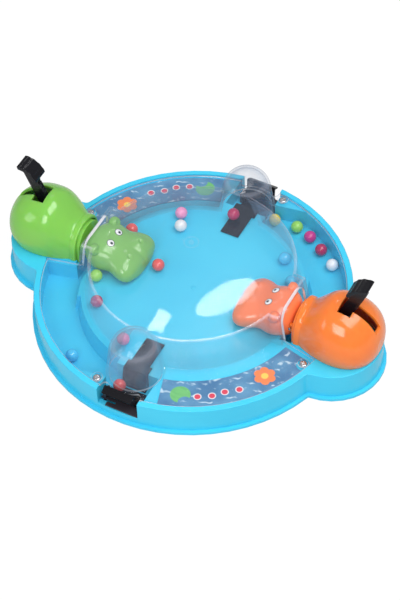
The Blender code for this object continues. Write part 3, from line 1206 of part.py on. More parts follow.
def main():
    clear_scene()
    plain = side_frame("plain_side", 0)
    turned_side = side_frame("turned_side", pi)
    sides = (plain, turned_side)
    bpy.context.view_layer.update()
    tray(sides)
    clear_cover(sides)
    seat = PLATE_TOP + GAP
    length = COVER_SCREW_LENGTH + PLATE_TOP - FIELD_HEIGHT
    for number, place in enumerate(screw_places(), 1):
        piece(f"cover_screw_{number}", screw(place, seat, length), "steel")
    label("front_label", plain)
    label("back_label", turned_side)
    hippo("orange", plain)
    hippo("green", turned_side)
    launcher("back", plain)
    launcher("front", turned_side)
    loaded_bean("front_loaded_bean", turned_side)
    beans()


main()
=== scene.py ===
# %% [markdown]
# # A bean-eating game for two players
# A round blue tray holds coloured beans under a clear cover. Each player presses a black lever,
# and a plastic hippo head darts in and gobbles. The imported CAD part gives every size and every
# joint. This script dresses it: finer surfaces where the light shows them, and real finishes.

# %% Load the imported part
from math import acos, copysign, cos, pi, radians, sin

import bmesh
import bpy
from mathutils import Matrix, Vector


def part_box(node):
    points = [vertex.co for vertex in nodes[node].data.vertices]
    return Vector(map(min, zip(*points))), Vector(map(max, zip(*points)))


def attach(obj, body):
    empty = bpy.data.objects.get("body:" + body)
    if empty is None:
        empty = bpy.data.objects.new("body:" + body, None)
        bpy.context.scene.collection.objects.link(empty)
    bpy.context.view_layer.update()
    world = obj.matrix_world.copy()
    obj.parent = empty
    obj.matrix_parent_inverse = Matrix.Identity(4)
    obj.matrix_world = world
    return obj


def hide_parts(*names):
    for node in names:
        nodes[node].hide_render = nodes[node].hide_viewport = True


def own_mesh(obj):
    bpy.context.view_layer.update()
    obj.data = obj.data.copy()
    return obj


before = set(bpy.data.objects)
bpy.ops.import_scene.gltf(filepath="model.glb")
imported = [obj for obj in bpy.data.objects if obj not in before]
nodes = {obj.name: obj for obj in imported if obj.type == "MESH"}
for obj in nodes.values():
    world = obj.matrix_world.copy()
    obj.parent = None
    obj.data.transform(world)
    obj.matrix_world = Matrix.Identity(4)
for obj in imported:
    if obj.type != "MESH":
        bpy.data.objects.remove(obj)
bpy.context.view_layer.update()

# %% [markdown]
# ## Camera
# The viewing angle was found by matching the tray's rim, the levers and the dome with the
# photograph. The focal length is kept as pixels on the 600 pixel height of the picture, because
# that is what such a match measures, and is turned into a lens here.

# %% Camera
FOCAL_PIXELS = 2015.823
PICTURE_HEIGHT = 600
SENSOR = 36.0
DISTANCE = 1.274071
ELEVATION = radians(49.246)
AZIMUTH = radians(29.345)
ROLL = radians(-2.442)
SLIDE = (0.003654, 0.003731)

back = Vector((sin(AZIMUTH) * cos(ELEVATION),
               -cos(AZIMUTH) * cos(ELEVATION), sin(ELEVATION)))
level = Vector((cos(AZIMUTH), sin(AZIMUTH), 0))
rise = back.cross(level)
right = cos(ROLL) * level + sin(ROLL) * rise
up = cos(ROLL) * rise - sin(ROLL) * level
lens = bpy.data.cameras.new("camera")
lens.sensor_fit = "VERTICAL"
lens.sensor_height = SENSOR
lens.lens = FOCAL_PIXELS * SENSOR / PICTURE_HEIGHT
lens.clip_start = 0.05
camera = bpy.data.objects.new("camera", lens)
place = back * DISTANCE + right * SLIDE[0] + up * SLIDE[1]
camera.matrix_world = Matrix.Translation(place) @ Matrix((right, up, back)).transposed().to_4x4()
bpy.context.collection.objects.link(camera)
bpy.context.scene.camera = camera
bpy.context.scene.view_settings.view_transform = "Standard"
print("lens", round(lens.lens, 2), "mm at", [round(value, 3) for value in place])

# %% [markdown]
# ## Shader arithmetic
# A moulded surface is never quite even, so every finish below is a sum of patterns. `Wire` wraps
# one output of a node, so that a pattern is written as plain arithmetic. Anything that isn't
# arithmetic is added with `node`.

# %% The wire helper
class Wire:
    """One output of a node that can be added, multiplied and compared."""

    def __init__(self, tree, socket):
        self.tree, self.socket = tree, socket

    def node(self, kind, settings=None, output=0, **inputs):
        """Add any node: its settings first, then values or wires by a socket's name or _number."""
        new = self.tree.nodes.new(kind)
        for name, value in (settings or {}).items():
            setattr(new, name, value)
        for name, value in inputs.items():
            slot = new.inputs[int(name[1:]) if name[0] == "_" else name.replace("_", " ")]
            if isinstance(value, Wire):
                self.tree.links.new(value.socket, slot)
            else:
                slot.default_value = value
        return Wire(self.tree, new.outputs[output])

    def math(self, operation, other=0.0):
        return self.node("ShaderNodeMath", {"operation": operation}, _0=self, _1=other)

    def __add__(self, other): return self.math("ADD", other)
    def __mul__(self, other): return self.math("MULTIPLY", other)
    def __sub__(self, other): return self.math("SUBTRACT", other)
    def __rsub__(self, other): return self * -1.0 + other
    def __pow__(self, other): return self.math("POWER", other)
    __radd__, __rmul__ = __add__, __mul__

    def clear_of(self, low, high):
        """0 below low and 1 above high, with a smooth step between them."""
        return self.node("ShaderNodeMapRange", {"interpolation_type": "SMOOTHSTEP"},
                         _0=self, _1=low, _2=high)

    def mixed(self, first, second):
        """A colour between two, by this wire."""
        return self.node("ShaderNodeMix", {"data_type": "RGBA"}, 2, _0=self, _6=first, _7=second)

    def distance(self, centre):
        """How far this place is from a centre, both as vectors."""
        return self.node("ShaderNodeVectorMath", {"operation": "DISTANCE"}, 1, _0=self, _1=centre)

    def part(self, number):
        """One of the three numbers of a place."""
        return self.node("ShaderNodeSeparateXYZ", None, number, _0=self)

    def bump(self, height):
        """A relief of this pattern, in metres."""
        return self.node("ShaderNodeBump", Height=self, Distance=height)

    def noise(self, scale, detail=2.0, stretch=(1, 1, 1)):
        """Soft cloudy values about a half; a larger scale gives finer clouds."""
        spread = self.node("ShaderNodeMapping", _0=self, _3=stretch)
        return spread.node("ShaderNodeTexNoise", Vector=spread, Scale=scale, Detail=detail)


def finish(name, constants):
    """A new material: its shader node, and a wire with the place on the piece."""
    material = bpy.data.materials.new(name)
    material.use_nodes = True
    tree = material.node_tree
    shader = tree.nodes["Principled BSDF"]
    for socket, value in constants.items():
        shader.inputs[socket].default_value = value
    spot = Wire(tree, tree.nodes.new("ShaderNodeTexCoord").outputs["Object"])
    return material, shader, spot


def feed(shader, **wires):
    """Lead wires to a shader's sockets."""
    for name, wire in wires.items():
        wire.tree.links.new(wire.socket, shader.inputs[name.replace("_", " ")])


print("shader helper ready")

# %% [markdown]
# ## Moulded plastic
# The tray, the bodies, the heads and the levers are glossy injection-moulded plastic. Up close
# it shows three things: faint cloudy flow in the colour, a fine orange-peel ripple that breaks up
# the highlights, and hair-fine scuffs that dull the gloss in places. One function makes them all.
# The bodies also let a little light through, which lifts the inside of their slots.

# %% Moulded plastic
FINE_RIPPLE, SOFT_RIPPLE, ROUGH_RIPPLE = 0.00001, 0.000015, 0.00003
GLOW_DEPTH = 0.005


def moulded(name, colour, deep, roughness, ripple=FINE_RIPPLE, extra=None, shine=0.5, coat=0.25,
            inner_glow=0.0):
    """A plastic: its colour and a deeper one for the clouds, then how its surface is."""
    material, shader, spot = finish(name, {
        "IOR": 1.49, "Coat Weight": coat, "Coat Roughness": 0.06, "Specular IOR Level": shine,
        "Subsurface Weight": inner_glow, "Subsurface Radius": (1.0, 0.6, 0.2),
        "Subsurface Scale": GLOW_DEPTH})
    clouds = spot.noise(28.0, 3.0).clear_of(0.3, 0.75)
    colours = clouds.mixed((*deep, 1), (*colour, 1))
    if extra:
        colours = extra(spot, colours)
    scuffs = spot.noise(420.0, 2.0, (1.0, 0.12, 1.0)).clear_of(0.58, 0.72)
    haze = spot.noise(60.0, 2.0)
    peel = spot.noise(900.0, 1.0) * 0.35 + spot.noise(130.0, 1.0)
    feed(shader, Base_Color=colours, Normal=peel.bump(ripple),
         Roughness=haze * 0.08 + scuffs * 0.07 + (roughness - 0.04))
    return material


TRAY_BLUE = moulded("tray_blue", (0.06, 0.6, 0.85), (0.05, 0.56, 0.825), 0.19,
                    shine=0.3, coat=0.0)
BODY_GREEN = moulded("body_green", (0.225, 0.57, 0.085), (0.2, 0.53, 0.078), 0.15,
                     inner_glow=0.45)
BODY_ORANGE = moulded("body_orange", (0.98, 0.225, 0.03), (0.96, 0.2, 0.032), 0.15,
                      inner_glow=0.45)
CRADLE = moulded("cradle_black", (0.042, 0.037, 0.047), (0.032, 0.028, 0.036), 0.34,
                 ROUGH_RIPPLE, coat=0.0)
BLACK = moulded("black", (0.008, 0.008, 0.011), (0.005, 0.005, 0.007), 0.2,
                SOFT_RIPPLE, shine=0.25, coat=0.0)
print("plastics:", TRAY_BLUE.name, BODY_GREEN.name, BODY_ORANGE.name, BLACK.name, CRADLE.name)

# %% [markdown]
# ## Beans, steel and clear sheet
# The beans are polished balls with a faint mould seam, so their colour hardly varies but their
# gloss does. The screws, pins and axles are plated steel: fine drawn lines, and a little tarnish.
# The clear cover is thin formed sheet. It is mostly see-through, and turns milky where we look
# along it, which is what makes a clear edge visible. Layer Weight gives that share. The tops of
# the hoods were stretched most, so there heights on the cover add some haze. Along the bend of the
# dome's shoulder the sheet is painted pale lavender and made hazier: a painted highlight line,
# which also lets the lamps' reflections there show stronger.

# %% Beans, steel and clear sheet
BEAN_COLOURS = {
    "pink": (0.93, 0.33, 0.58), "white": (0.85, 0.85, 0.88),
    "crimson": (0.48, 0.012, 0.09), "coral": (0.9, 0.1, 0.08),
    "lime": (0.33, 0.7, 0.11), "sky_blue": (0.08, 0.56, 0.9),
    "magenta": (0.64, 0.025, 0.25), "yellow": (0.9, 0.68, 0.06),
}
DEEPER = 0.93
BEAN_FINISH = {name: moulded(f"bean_{name}", shade, tuple(part * DEEPER for part in shade), 0.13)
               for name, shade in BEAN_COLOURS.items()}
BRIGHT_STEEL, TARNISHED_STEEL = (0.62, 0.62, 0.65, 1), (0.42, 0.4, 0.38, 1)
PAINTED_BEND_HIGHLIGHT = (0.8, 0.8, 0.92, 1)
SHOULDER_START, SHOULDER_END = (0.04, 0.0412), (0.0442, 0.045)
HOOD_TOPS, JUST_ABOVE_PLATE, SHEET_WAVES = (0.045, 0.05), (0.0202, 0.0215), 0.00006


def plated_steel():
    material, shader, spot = finish("plated_steel", {"Metallic": 1.0, "IOR": 2.5})
    lines = spot.noise(1500.0, 2.0, (1.0, 1.0, 0.08))
    tarnish = spot.noise(260.0, 3.0).clear_of(0.5, 0.8)
    feed(shader, Base_Color=tarnish.mixed(BRIGHT_STEEL, TARNISHED_STEEL),
         Normal=lines.bump(SOFT_RIPPLE), Roughness=lines * 0.12 + tarnish * 0.15 + 0.18)
    return material


def clear_sheet(name, flat, wall, bend_highlight_share, edge_on, tint):
    """Formed sheet: nearly clear where it is flat, hazier on walls, and pale and hazier still in
    the bend of the dome's shoulder, as a painted highlight.
    """
    material, shader, spot = finish(name, {"IOR": 2.2})
    normal = Wire(spot.tree, spot.socket.node.outputs["Normal"])
    tilt = 1.0 - normal.part(2).math("ABSOLUTE")
    glancing = spot.node("ShaderNodeLayerWeight", None, 1, Blend=0.5) ** 2.6
    draw = spot.noise(16.0, 2.0)
    streaks = spot.noise(45.0, 2.0, (1.0, 1.0, 0.25)).clear_of(0.45, 0.7)
    smears = spot.noise(90.0, 3.0, (1.0, 0.25, 1.0)).clear_of(0.5, 0.75)
    walls = tilt.clear_of(0.06, 0.45) * (streaks * 0.9 + 0.55)
    height = spot.part(2)
    shoulder = height.clear_of(*SHOULDER_START) * (1.0 - height.clear_of(*SHOULDER_END))
    # Painted highlight: in the shoulder's bend the sheet turns pale lavender and hazier, standing
    # for the bright line that light draws there.
    bend_highlight_mask = tilt.clear_of(0.02, 0.15) * (1.0 - tilt.clear_of(0.35, 0.65)) * shoulder
    above_plate = height.clear_of(*JUST_ABOVE_PLATE) * 0.6 + 0.4
    milky = height.clear_of(*HOOD_TOPS) * glancing * 0.5
    seen = (walls * wall + bend_highlight_mask * bend_highlight_share + glancing * edge_on + smears * 0.01 + above_plate * flat
            + milky)
    feed(shader, Base_Color=bend_highlight_mask.mixed((*tint, 1), PAINTED_BEND_HIGHLIGHT), Alpha=seen,
         Roughness=smears * 0.04 + 0.02, Normal=draw.bump(SHEET_WAVES))
    return material


STEEL = plated_steel()
CLEAR = clear_sheet("clear_sheet", 0.045, 0.06, 0.14, 0.38, (0.36, 0.45, 0.62))
# Painted glow: the cut edges get a near-white, nearly opaque sheet that stands for the light a
# clear sheet's edge catches.
CLEAR_EDGE_GLOW = clear_sheet("clear_cut_edge_glow", 0.8, 0.05, 0.05, 0.2, (0.93, 0.91, 0.94))
print("beans:", len(BEAN_FINISH), "and", STEEL.name, CLEAR.name, CLEAR_EDGE_GLOW.name)

# %% [markdown]
# ## The printed labels
# Two paper labels lie under the plate of the cover. Their print here is a generic pond: slate
# water with pale ripples, a leaf, a ring of petals and outlined dots. The pale ripples are only
# partly print: they are made brighter and more plentiful as a painted reflection of the cover over
# the label. One label is the other turned by half a turn, so the print reads the size of x and y
# without their signs.

# %% The printed labels
DEEP_WATER, LIGHT_WATER = (0.055, 0.185, 0.37, 1), (0.115, 0.315, 0.52, 1)
PALE_RIPPLE_AND_SHEEN = (0.6, 0.78, 0.88, 1)
LEAF_DARK, LEAF_LIGHT = (0.1, 0.42, 0.12, 1), (0.22, 0.62, 0.2, 1)
PETAL, FLOWER_HEART = (0.9, 0.24, 0.07, 1), (0.93, 0.62, 0.1, 1)
DOT_RIM, DOT_HEART = (0.9, 0.9, 0.92, 1), (0.72, 0.045, 0.09, 1)
FLOWER_X, FLOWER_Y, PETALS, PETAL_REACH = 0.0715, 0.044, 6, 0.0042
DOTS = ((0.0425, 0.076), (0.05, 0.0715), (0.0555, 0.0655), (0.0625, 0.06))


def spot_at(spot, centre, radius, soft=0.0003):
    """1 inside a round dot and 0 outside it."""
    return 1.0 - spot.distance((*centre, 0)).clear_of(radius - soft, radius + soft)


def pond_print():
    material, shader, spot = finish("pond_print", {"IOR": 1.45, "Coat Weight": 0.3})
    x, y = (spot.part(number).math("ABSOLUTE") for number in (0, 1))
    flat = x.node("ShaderNodeCombineXYZ", _0=x, _1=y)
    warp = flat.noise(55.0, 3.0)
    reach = flat.distance((0, 0, 0))
    # The pale ripples are partly print and partly a painted reflection of the cover's haze over the
    # label.
    waves = ((reach * 900.0) + warp * 26.0).math("SINE").clear_of(0.35, 0.9)
    ripple_glints_and_cover_sheen = flat.noise(120.0, 4.0, (1.0, 2.0, 1.0)).clear_of(0.5, 0.64)
    colours = warp.clear_of(0.3, 0.7).mixed(DEEP_WATER, LIGHT_WATER)
    colours = (waves * ripple_glints_and_cover_sheen * 0.8).mixed(colours, PALE_RIPPLE_AND_SHEEN)
    leaf = spot_at(flat, (0.0325, 0.079), 0.0062) * (1.0 - spot_at(flat, (0.0375, 0.083), 0.0042))
    veins = flat.noise(700.0, 2.0, (0.2, 1.0, 1.0))
    colours = leaf.mixed(colours, veins.mixed(LEAF_DARK, LEAF_LIGHT))
    for number in range(PETALS):
        turn = 2 * pi * number / PETALS
        centre = (FLOWER_X + PETAL_REACH * cos(turn), FLOWER_Y + PETAL_REACH * sin(turn))
        colours = spot_at(flat, centre, 0.0027).mixed(colours, PETAL)
    colours = spot_at(flat, (FLOWER_X, FLOWER_Y), 0.0022).mixed(colours, FLOWER_HEART)
    for centre in DOTS:
        colours = spot_at(flat, centre, 0.0024).mixed(colours, DOT_RIM)
        colours = spot_at(flat, centre, 0.0019).mixed(colours, DOT_HEART)
    fibres = flat.noise(1800.0, 2.0)
    feed(shader, Base_Color=colours, Roughness=fibres * 0.12 + 0.3, Normal=fibres.bump(FINE_RIPPLE))
    return material


PRINT = pond_print()
print("label print:", PRINT.name)

# %% [markdown]
# ## How pieces are made and placed
# A piece starts as a bmesh, and `new_object` makes it an object. Hard edges of moulded plastic are
# never sharp, so `soften` rounds them with a small bevel. `dress` then shades the piece, ties it
# to the body that it moves with and hides the CAD nodes that it stands for.

# %% Making and placing pieces
WELD = 0.000002
SMOOTH_ANGLE = radians(38)


def new_object(name, bm):
    """An object at the origin from a bmesh, with every face pointing outwards."""
    bmesh.ops.remove_doubles(bm, verts=bm.verts, dist=WELD)
    bmesh.ops.recalc_face_normals(bm, faces=bm.faces)
    mesh = bpy.data.meshes.new(name)
    bm.to_mesh(mesh)
    bm.free()
    made = bpy.data.objects.new(name, mesh)
    bpy.context.collection.objects.link(made)
    return made


def applied(made):
    """Turn an object's modifiers into its mesh."""
    bpy.context.view_layer.update()
    graph = bpy.context.evaluated_depsgraph_get()
    ready = bpy.data.meshes.new_from_object(made.evaluated_get(graph))
    made.modifiers.clear()
    made.data = ready
    return made


def soften(made, width, segments=3, angle=50):
    """Round the hard edges."""
    bevel = made.modifiers.new("soften", "BEVEL")
    bevel.width, bevel.segments = width, segments
    bevel.limit_method, bevel.angle_limit = "ANGLE", radians(angle)
    bevel.miter_outer = "MITER_ARC"
    return applied(made)


def give(made, material):
    """One material for the whole piece."""
    made.data.materials.clear()
    made.data.materials.append(material)


def dress(made, material, body, slot, *replaced, angle=SMOOTH_ANGLE):
    """Shade a finished piece, tie it to its body and hide the nodes that it stands for."""
    give(made, material)
    made.data.shade_smooth()
    made.data.set_sharp_from_angle(angle=angle)
    weighted = made.modifiers.new("even shading", "WEIGHTED_NORMAL")
    weighted.keep_sharp = True
    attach(made, body)
    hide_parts(*replaced)
    print(made.name, len(made.data.polygons), "faces on", body)
    return made


def at_its_end(made, side):
    """A piece is made for the orange end; one for the green end gets half a turn."""
    if side == "green":
        made.data.transform(Matrix.Rotation(pi, 4, "Z"))
    return made


print("placing helpers ready")

# %% [markdown]
# ## Cutting and joining
# A slot, a doorway or a screw hole is easiest as a plain solid that is taken away. Blender's exact
# Boolean does that, but on faces that nearly lie in one plane it now and then fails without a
# word. So a cut has to take volume away and a join has to add some, or it is done again with the
# tool a few micrometres aside. A tool too small to tell is taken as done.

# %% Cutting and joining
TOOL_TOO_SMALL, LEAST_LEFT, LEAST_CHANGE = 0.001, 0.05, 0.00001
TRIES, NUDGE = 4, Vector((0.000004, 0.000003, 0.000005))


def volume(mesh):
    """A closed mesh's volume in cubic metres."""
    bm = bmesh.new()
    bm.from_mesh(mesh)
    size = abs(bm.calc_volume())
    bm.free()
    return size


def combine(target, tool_bm, operation="DIFFERENCE"):
    """Cut a tool's shape out of the target, or join it on, and apply that at once."""
    tool = new_object("tool", tool_bm)
    before, sign = target.data, 1 if operation == "UNION" else -1
    small = volume(tool.data) < volume(before) * TOOL_TOO_SMALL
    for attempt in range(TRIES):
        target.data = before
        tool.location = NUDGE * attempt
        change = target.modifiers.new("combine", "BOOLEAN")
        change.operation, change.solver, change.object = operation, "EXACT", tool
        applied(target)
        share = volume(target.data) / volume(before)
        if small or (LEAST_LEFT < share and LEAST_CHANGE < (share - 1) * sign < 1.0):
            break
        print("done again on", target.name, "with a share of", share)
    bpy.data.objects.remove(tool)
    return target


def shape_of(made):
    """A helper object's shape as a bmesh again; the object itself goes."""
    bm = bmesh.new()
    bm.from_mesh(made.data)
    bpy.data.objects.remove(made)
    return bm


print("cutting helpers ready")

# %% [markdown]
# ## First shapes
# Most pieces start as one of four shapes: a copy of the CAD node, a profile that is spun, an
# outline that is pulled, or a plain block. An arc gives outlines and profiles their curves.

# %% First shapes
FLAT_ENOUGH = radians(0.5)


def cad_copy(node):
    """A node's mesh with its loose triangles merged and its flat faces made whole."""
    bm = bmesh.new()
    bm.from_mesh(nodes[node].data)
    bmesh.ops.remove_doubles(bm, verts=bm.verts, dist=WELD)
    bmesh.ops.dissolve_limit(bm, angle_limit=FLAT_ENOUGH, verts=bm.verts, edges=bm.edges)
    return bm


def moved(bm, shift):
    """A shape, moved."""
    bmesh.ops.translate(bm, verts=bm.verts, vec=shift)
    return bm


def turned(bm, angle, axis="Z"):
    """A shape, turned about the origin."""
    bmesh.ops.rotate(bm, verts=bm.verts, cent=(0, 0, 0), matrix=Matrix.Rotation(angle, 3, axis))
    return bm


def spun(profile, segments=128, centre=(0, 0)):
    """Spin a profile of (radius, height) that starts and ends on the axis."""
    bm = bmesh.new()
    points = [bm.verts.new((radius, 0, height)) for radius, height in profile]
    edges = [bm.edges.new(pair) for pair in zip(points, points[1:])]
    bmesh.ops.spin(bm, geom=points + edges, axis=(0, 0, 1), cent=(0, 0, 0), angle=2 * pi,
                   steps=segments, use_merge=True)
    bmesh.ops.remove_doubles(bm, verts=bm.verts, dist=WELD)
    return moved(bm, (*centre, 0))


def arc(centre, radius, start, end, steps):
    """Points along an arc, with its angles in degrees; no steps give its first point alone."""
    angles = [radians(start + (end - start) * i / max(steps, 1)) for i in range(steps + 1)]
    return [(centre[0] + radius * cos(angle), centre[1] + radius * sin(angle)) for angle in angles]


def extruded(outline, reach):
    """A closed prism: an outline of 3-D points that is pulled along a vector."""
    bm = bmesh.new()
    face = bm.faces.new([bm.verts.new(point) for point in outline])
    pulled = bmesh.ops.extrude_face_region(bm, geom=[face], use_keep_orig=True)["geom"]
    far_end = [part for part in pulled if isinstance(part, bmesh.types.BMVert)]
    bmesh.ops.translate(bm, verts=far_end, vec=reach)
    bmesh.ops.recalc_face_normals(bm, faces=bm.faces)
    return bm


def block(low, high):
    """A plain block between two corners, used as a cutter."""
    bm = bmesh.new()
    size, middle = Vector(high) - Vector(low), (Vector(low) + Vector(high)) / 2
    bmesh.ops.create_cube(bm, size=1.0,
                          matrix=Matrix.Translation(middle) @ Matrix.Diagonal(size.to_4d()))
    return bm


print("shape helpers ready")

# %% [markdown]
# ## Tray
# The tray is one large moulding, and its CAD shape is right. A copy of it gets the small round
# that every moulded edge has, so that the rim, the gutters and the notches catch the light. The
# low disc in the middle of the field is the mark of the gate where the plastic went in.

# %% Tray
FIELD_HEIGHT, BIG_PART_EDGE = 0.0176, 0.00035
GATE_MARK = ((0, -0.0004), (0.0017, -0.0004), (0.0017, 0.0001), (0.0013, 0.0003), (0, 0.0003))
tray = new_object("blue_tray", cad_copy("tray"))
combine(tray, spun([(radius, FIELD_HEIGHT + rise) for radius, rise in GATE_MARK], 24), "UNION")
soften(tray, BIG_PART_EDGE, 2, 60)
dress(tray, TRAY_BLUE, "root", "tray_blue", "tray", angle=radians(50))

# %% [markdown]
# ## Levers, necks and launchers
# These are plain mouldings whose CAD shapes are right too, and get the same soft edges. Only the
# thumb pad is made anew: on the real one its ridges are shallow waves. The old pad is cut off and
# a curved slab is joined on, whose outer face follows a cosine. The plate of a launcher's cradle
# doesn't fill its notch, so one end of it is cut back and the blue floor shows.

# %% Levers, necks and launchers
ENDS = {"orange": ("back", BODY_ORANGE), "green": ("front", BODY_GREEN)}
SMALL_PART_EDGE, PAD_EDGE = 0.0003, 0.0006
PAD_CENTRE, PAD_START, PAD_END, PAD_WAVES = (0.11758, 0.06499), 83.0, 163.0, 4
PAD_INNER, PAD_OUTER, PAD_HALF_WIDTH, WAVE_RISE = 0.01, 0.01262, 0.0056, 0.00016
OLD_PAD_INNER, OLD_PAD_OUTER, OLD_PAD_START, OLD_PAD_END = 0.01043, 0.015, 60, 185
OLD_PAD_HALF_WIDTH = 0.008
PLATE_CUTS = (((0.0085, 0.0949, 0), (0.015, 0.101, 0.05)),
              ((0.003, 0.0949, 0), (0.009, 0.0966, 0.05)))


def pad_slab():
    """The thumb pad's side outline, pulled to its width."""
    steps = 48
    outer = []
    for i in range(steps + 1):
        radius = PAD_OUTER - WAVE_RISE * cos(2 * pi * PAD_WAVES * i / steps)
        outer += arc(PAD_CENTRE, radius, PAD_START + (PAD_END - PAD_START) * i / steps, 0, 0)
    inner = arc(PAD_CENTRE, PAD_INNER, PAD_END - 2, PAD_START + 2, 24)
    outline = [(x, -PAD_HALF_WIDTH, z) for x, z in outer + inner]
    return extruded(outline, (0, 2 * PAD_HALF_WIDTH, 0))


def thumb_lever(side):
    """The CAD lever with a new pad."""
    lever = new_object(f"{side}_thumb_lever", cad_copy("orange_lever"))
    soften(lever, SMALL_PART_EDGE, 3, 40)
    old_pad = arc(PAD_CENTRE, OLD_PAD_INNER, OLD_PAD_START, OLD_PAD_END, 31)
    old_pad += arc(PAD_CENTRE, OLD_PAD_OUTER, OLD_PAD_END, OLD_PAD_START, 31)
    combine(lever, extruded([(x, -OLD_PAD_HALF_WIDTH, z) for x, z in old_pad],
                            (0, 2 * OLD_PAD_HALF_WIDTH, 0)))
    pad = soften(new_object("pad", pad_slab()), PAD_EDGE, 4, 60)
    return at_its_end(combine(lever, shape_of(pad), "UNION"), side)


for side, (end, plastic) in ENDS.items():
    dress(thumb_lever(side), BLACK, f"{side}_lever", "black", f"{side}_lever")
    neck = new_object(f"{side}_sliding_neck", cad_copy("orange_neck"))
    soften(neck, BIG_PART_EDGE, 3, 50)
    dress(at_its_end(neck, side), plastic, f"{side}_neck", side, f"{side}_neck")
    for part, body, black in (("launcher_ramp", "root", BLACK), ("launcher_cradle", "root", CRADLE),
                              ("launcher_lever", f"{end}_launcher", BLACK)):
        piece = new_object(f"{end}_{part}_soft", cad_copy(f"back_{part}"))
        if black is CRADLE:
            for low, high in PLATE_CUTS:
                combine(piece, block(low, high))
        soften(piece, SMALL_PART_EDGE, 3, 40)
        dress(at_its_end(piece, side), black, body, "black", f"{end}_{part}")

# %% [markdown]
# ## Beans
# A bean is a ball of 8 mm that two half moulds made, so it has a hair-thin seam round its middle
# and a tiny flat where the plastic went in. The seam is spun with the ball. Each bean is tipped
# its own way, as beans that have rolled are.

# %% Beans
BEAN_RADIUS = 0.004
SEAM_RISE = 0.00004
POLE_SHARE = 0.985
TIP_AXIS = (1, 0.6, 0)
BEAN_TIPS = (0.4, 1.1, 2.0, 2.7, 0.9, 1.6)


def bean_ball(centre, tip):
    """A ball with a raised seam round its middle and a flat at each pole."""
    body = BEAN_RADIUS - SEAM_RISE
    profile = [(0, -body * POLE_SHARE)] + arc((0, 0), body, -80, -6, 12)
    profile += arc((0, 0), BEAN_RADIUS, -2, 2, 1)
    profile += arc((0, 0), body, 6, 80, 12) + [(0, body * POLE_SHARE)]
    return moved(turned(spun(profile, 40), tip, TIP_AXIS), centre)


bean_nodes = [name for name in sorted(nodes) if "bean" in name]
for number, name in enumerate(bean_nodes):
    low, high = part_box(name)
    colour = "coral" if name == "front_loaded_bean" else name[len("bean_"):-2]
    body = "front_launcher" if name == "front_loaded_bean" else "root"
    tip = BEAN_TIPS[number % len(BEAN_TIPS)]
    ball = new_object(f"{name}_ball", bean_ball((low + high) / 2, tip))
    dress(ball, BEAN_FINISH[colour], body, f"bean_{colour}", name)

# %% [markdown]
# ## Return springs
# A spring can't follow its lever's heel as one rigid piece, and at full press the heel would pass
# through it. Here each is a plain copy of the CAD coil in plated steel, tied to the tray, with a
# mesh of its own.

# %% Return springs
for side, way in (("orange", 1), ("green", -1)):
    coil = new_object(f"{side}_coil_spring", cad_copy(f"{side}_return_spring"))
    dress(coil, STEEL, "root", "steel", f"{side}_return_spring")
    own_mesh(coil)

# %% [markdown]
# ## Carried-over metal and paper
# The axles, pins and body screws hardly show, so their CAD shapes stay, with a real finish. So do
# the two flat labels.

# %% Carried-over metal and paper
for name, node in nodes.items():
    if any(word in name for word in ("axle", "pin", "body_screw")):
        give(node, STEEL)
    if name.endswith("_label"):
        give(node, PRINT)
print("steel and paper done")

# %% [markdown]
# ## Body shells
# A body is a hollow egg with a throat, cut flat where it stands on the tray. Rings that are pulled
# out of one circle and shaped one by one make it: squarish at the throat, where a collar lies
# round it, and round at the widest place. The same rings, drawn in by the wall, make its inside.
# The slots for the lever and the doorway for the neck are cut through it.

# %% Body shells
RIM_HEIGHT, FLOOR_GAP = 0.02035, 0.0003
BODY_FRONT, BODY_TALLEST, BODY_WIDEST, BODY_REAR = 0.076, 0.099, 0.104, 0.1279
BODY_HALF_WIDTH, BODY_TOP, BODY_MIDDLE_HEIGHT = 0.023, 0.056, 0.03
THROAT_END, THROAT_HALF_WIDTH, THROAT_TOP = 0.0802, 0.0153, 0.0416
THROAT_MIDDLE, THROAT_POWER = 0.022, 2.4
BODY_WALL, FRONT_WALL, END_GAP, BODY_EDGE = 0.0018, 0.002, 0.0003, 0.0004
EGG_START, COLLAR_BORDER = BODY_FRONT + 0.0011, 0.0006
COLLAR_STEPS = ((0, 0.0009), (0.06, 0.0004), (0.2, 0), (0.8, 0), (0.94, 0.0004), (1, 0.0009))
DOOR_HALF_WIDTH, DOOR_TOP, DOOR_CORNER, DOOR_DEPTH = 0.014, 0.0403, 0.027, 0.0085
LEVER_WELL = ((0.1013, -0.0073, 0.03), (0.1098, 0.0073, 0.058))
LEVER_SLOT = ((0.1095, -0.00325, 0.0412), (0.13, 0.00325, 0.058))
BELOW_BODY = ((0.0, -0.1, -0.1), (0.2, 0.1, RIM_HEIGHT + FLOOR_GAP))


def egg(distance, reach, power):
    """Share of full size at a distance behind the fullest section."""
    return (1 - min(max(distance / reach, 0), 1) ** power) ** (1 / power)


def fullness(x, fullest, ease=1.0):
    """How far a body has grown at x: 0 at the throat and 1 at its fullest."""
    return sin(pi / 2 * min(max((x - THROAT_END) / (fullest - THROAT_END), 0), 1)) ** ease


def rounded(y, z, width, height, middle, power):
    """A place on a unit circle, brought to an oval; a power above 2 makes that squarer."""
    return (copysign(abs(y) ** (2 / power), y) * width,
            middle + copysign(abs(z) ** (2 / power), z) * height)


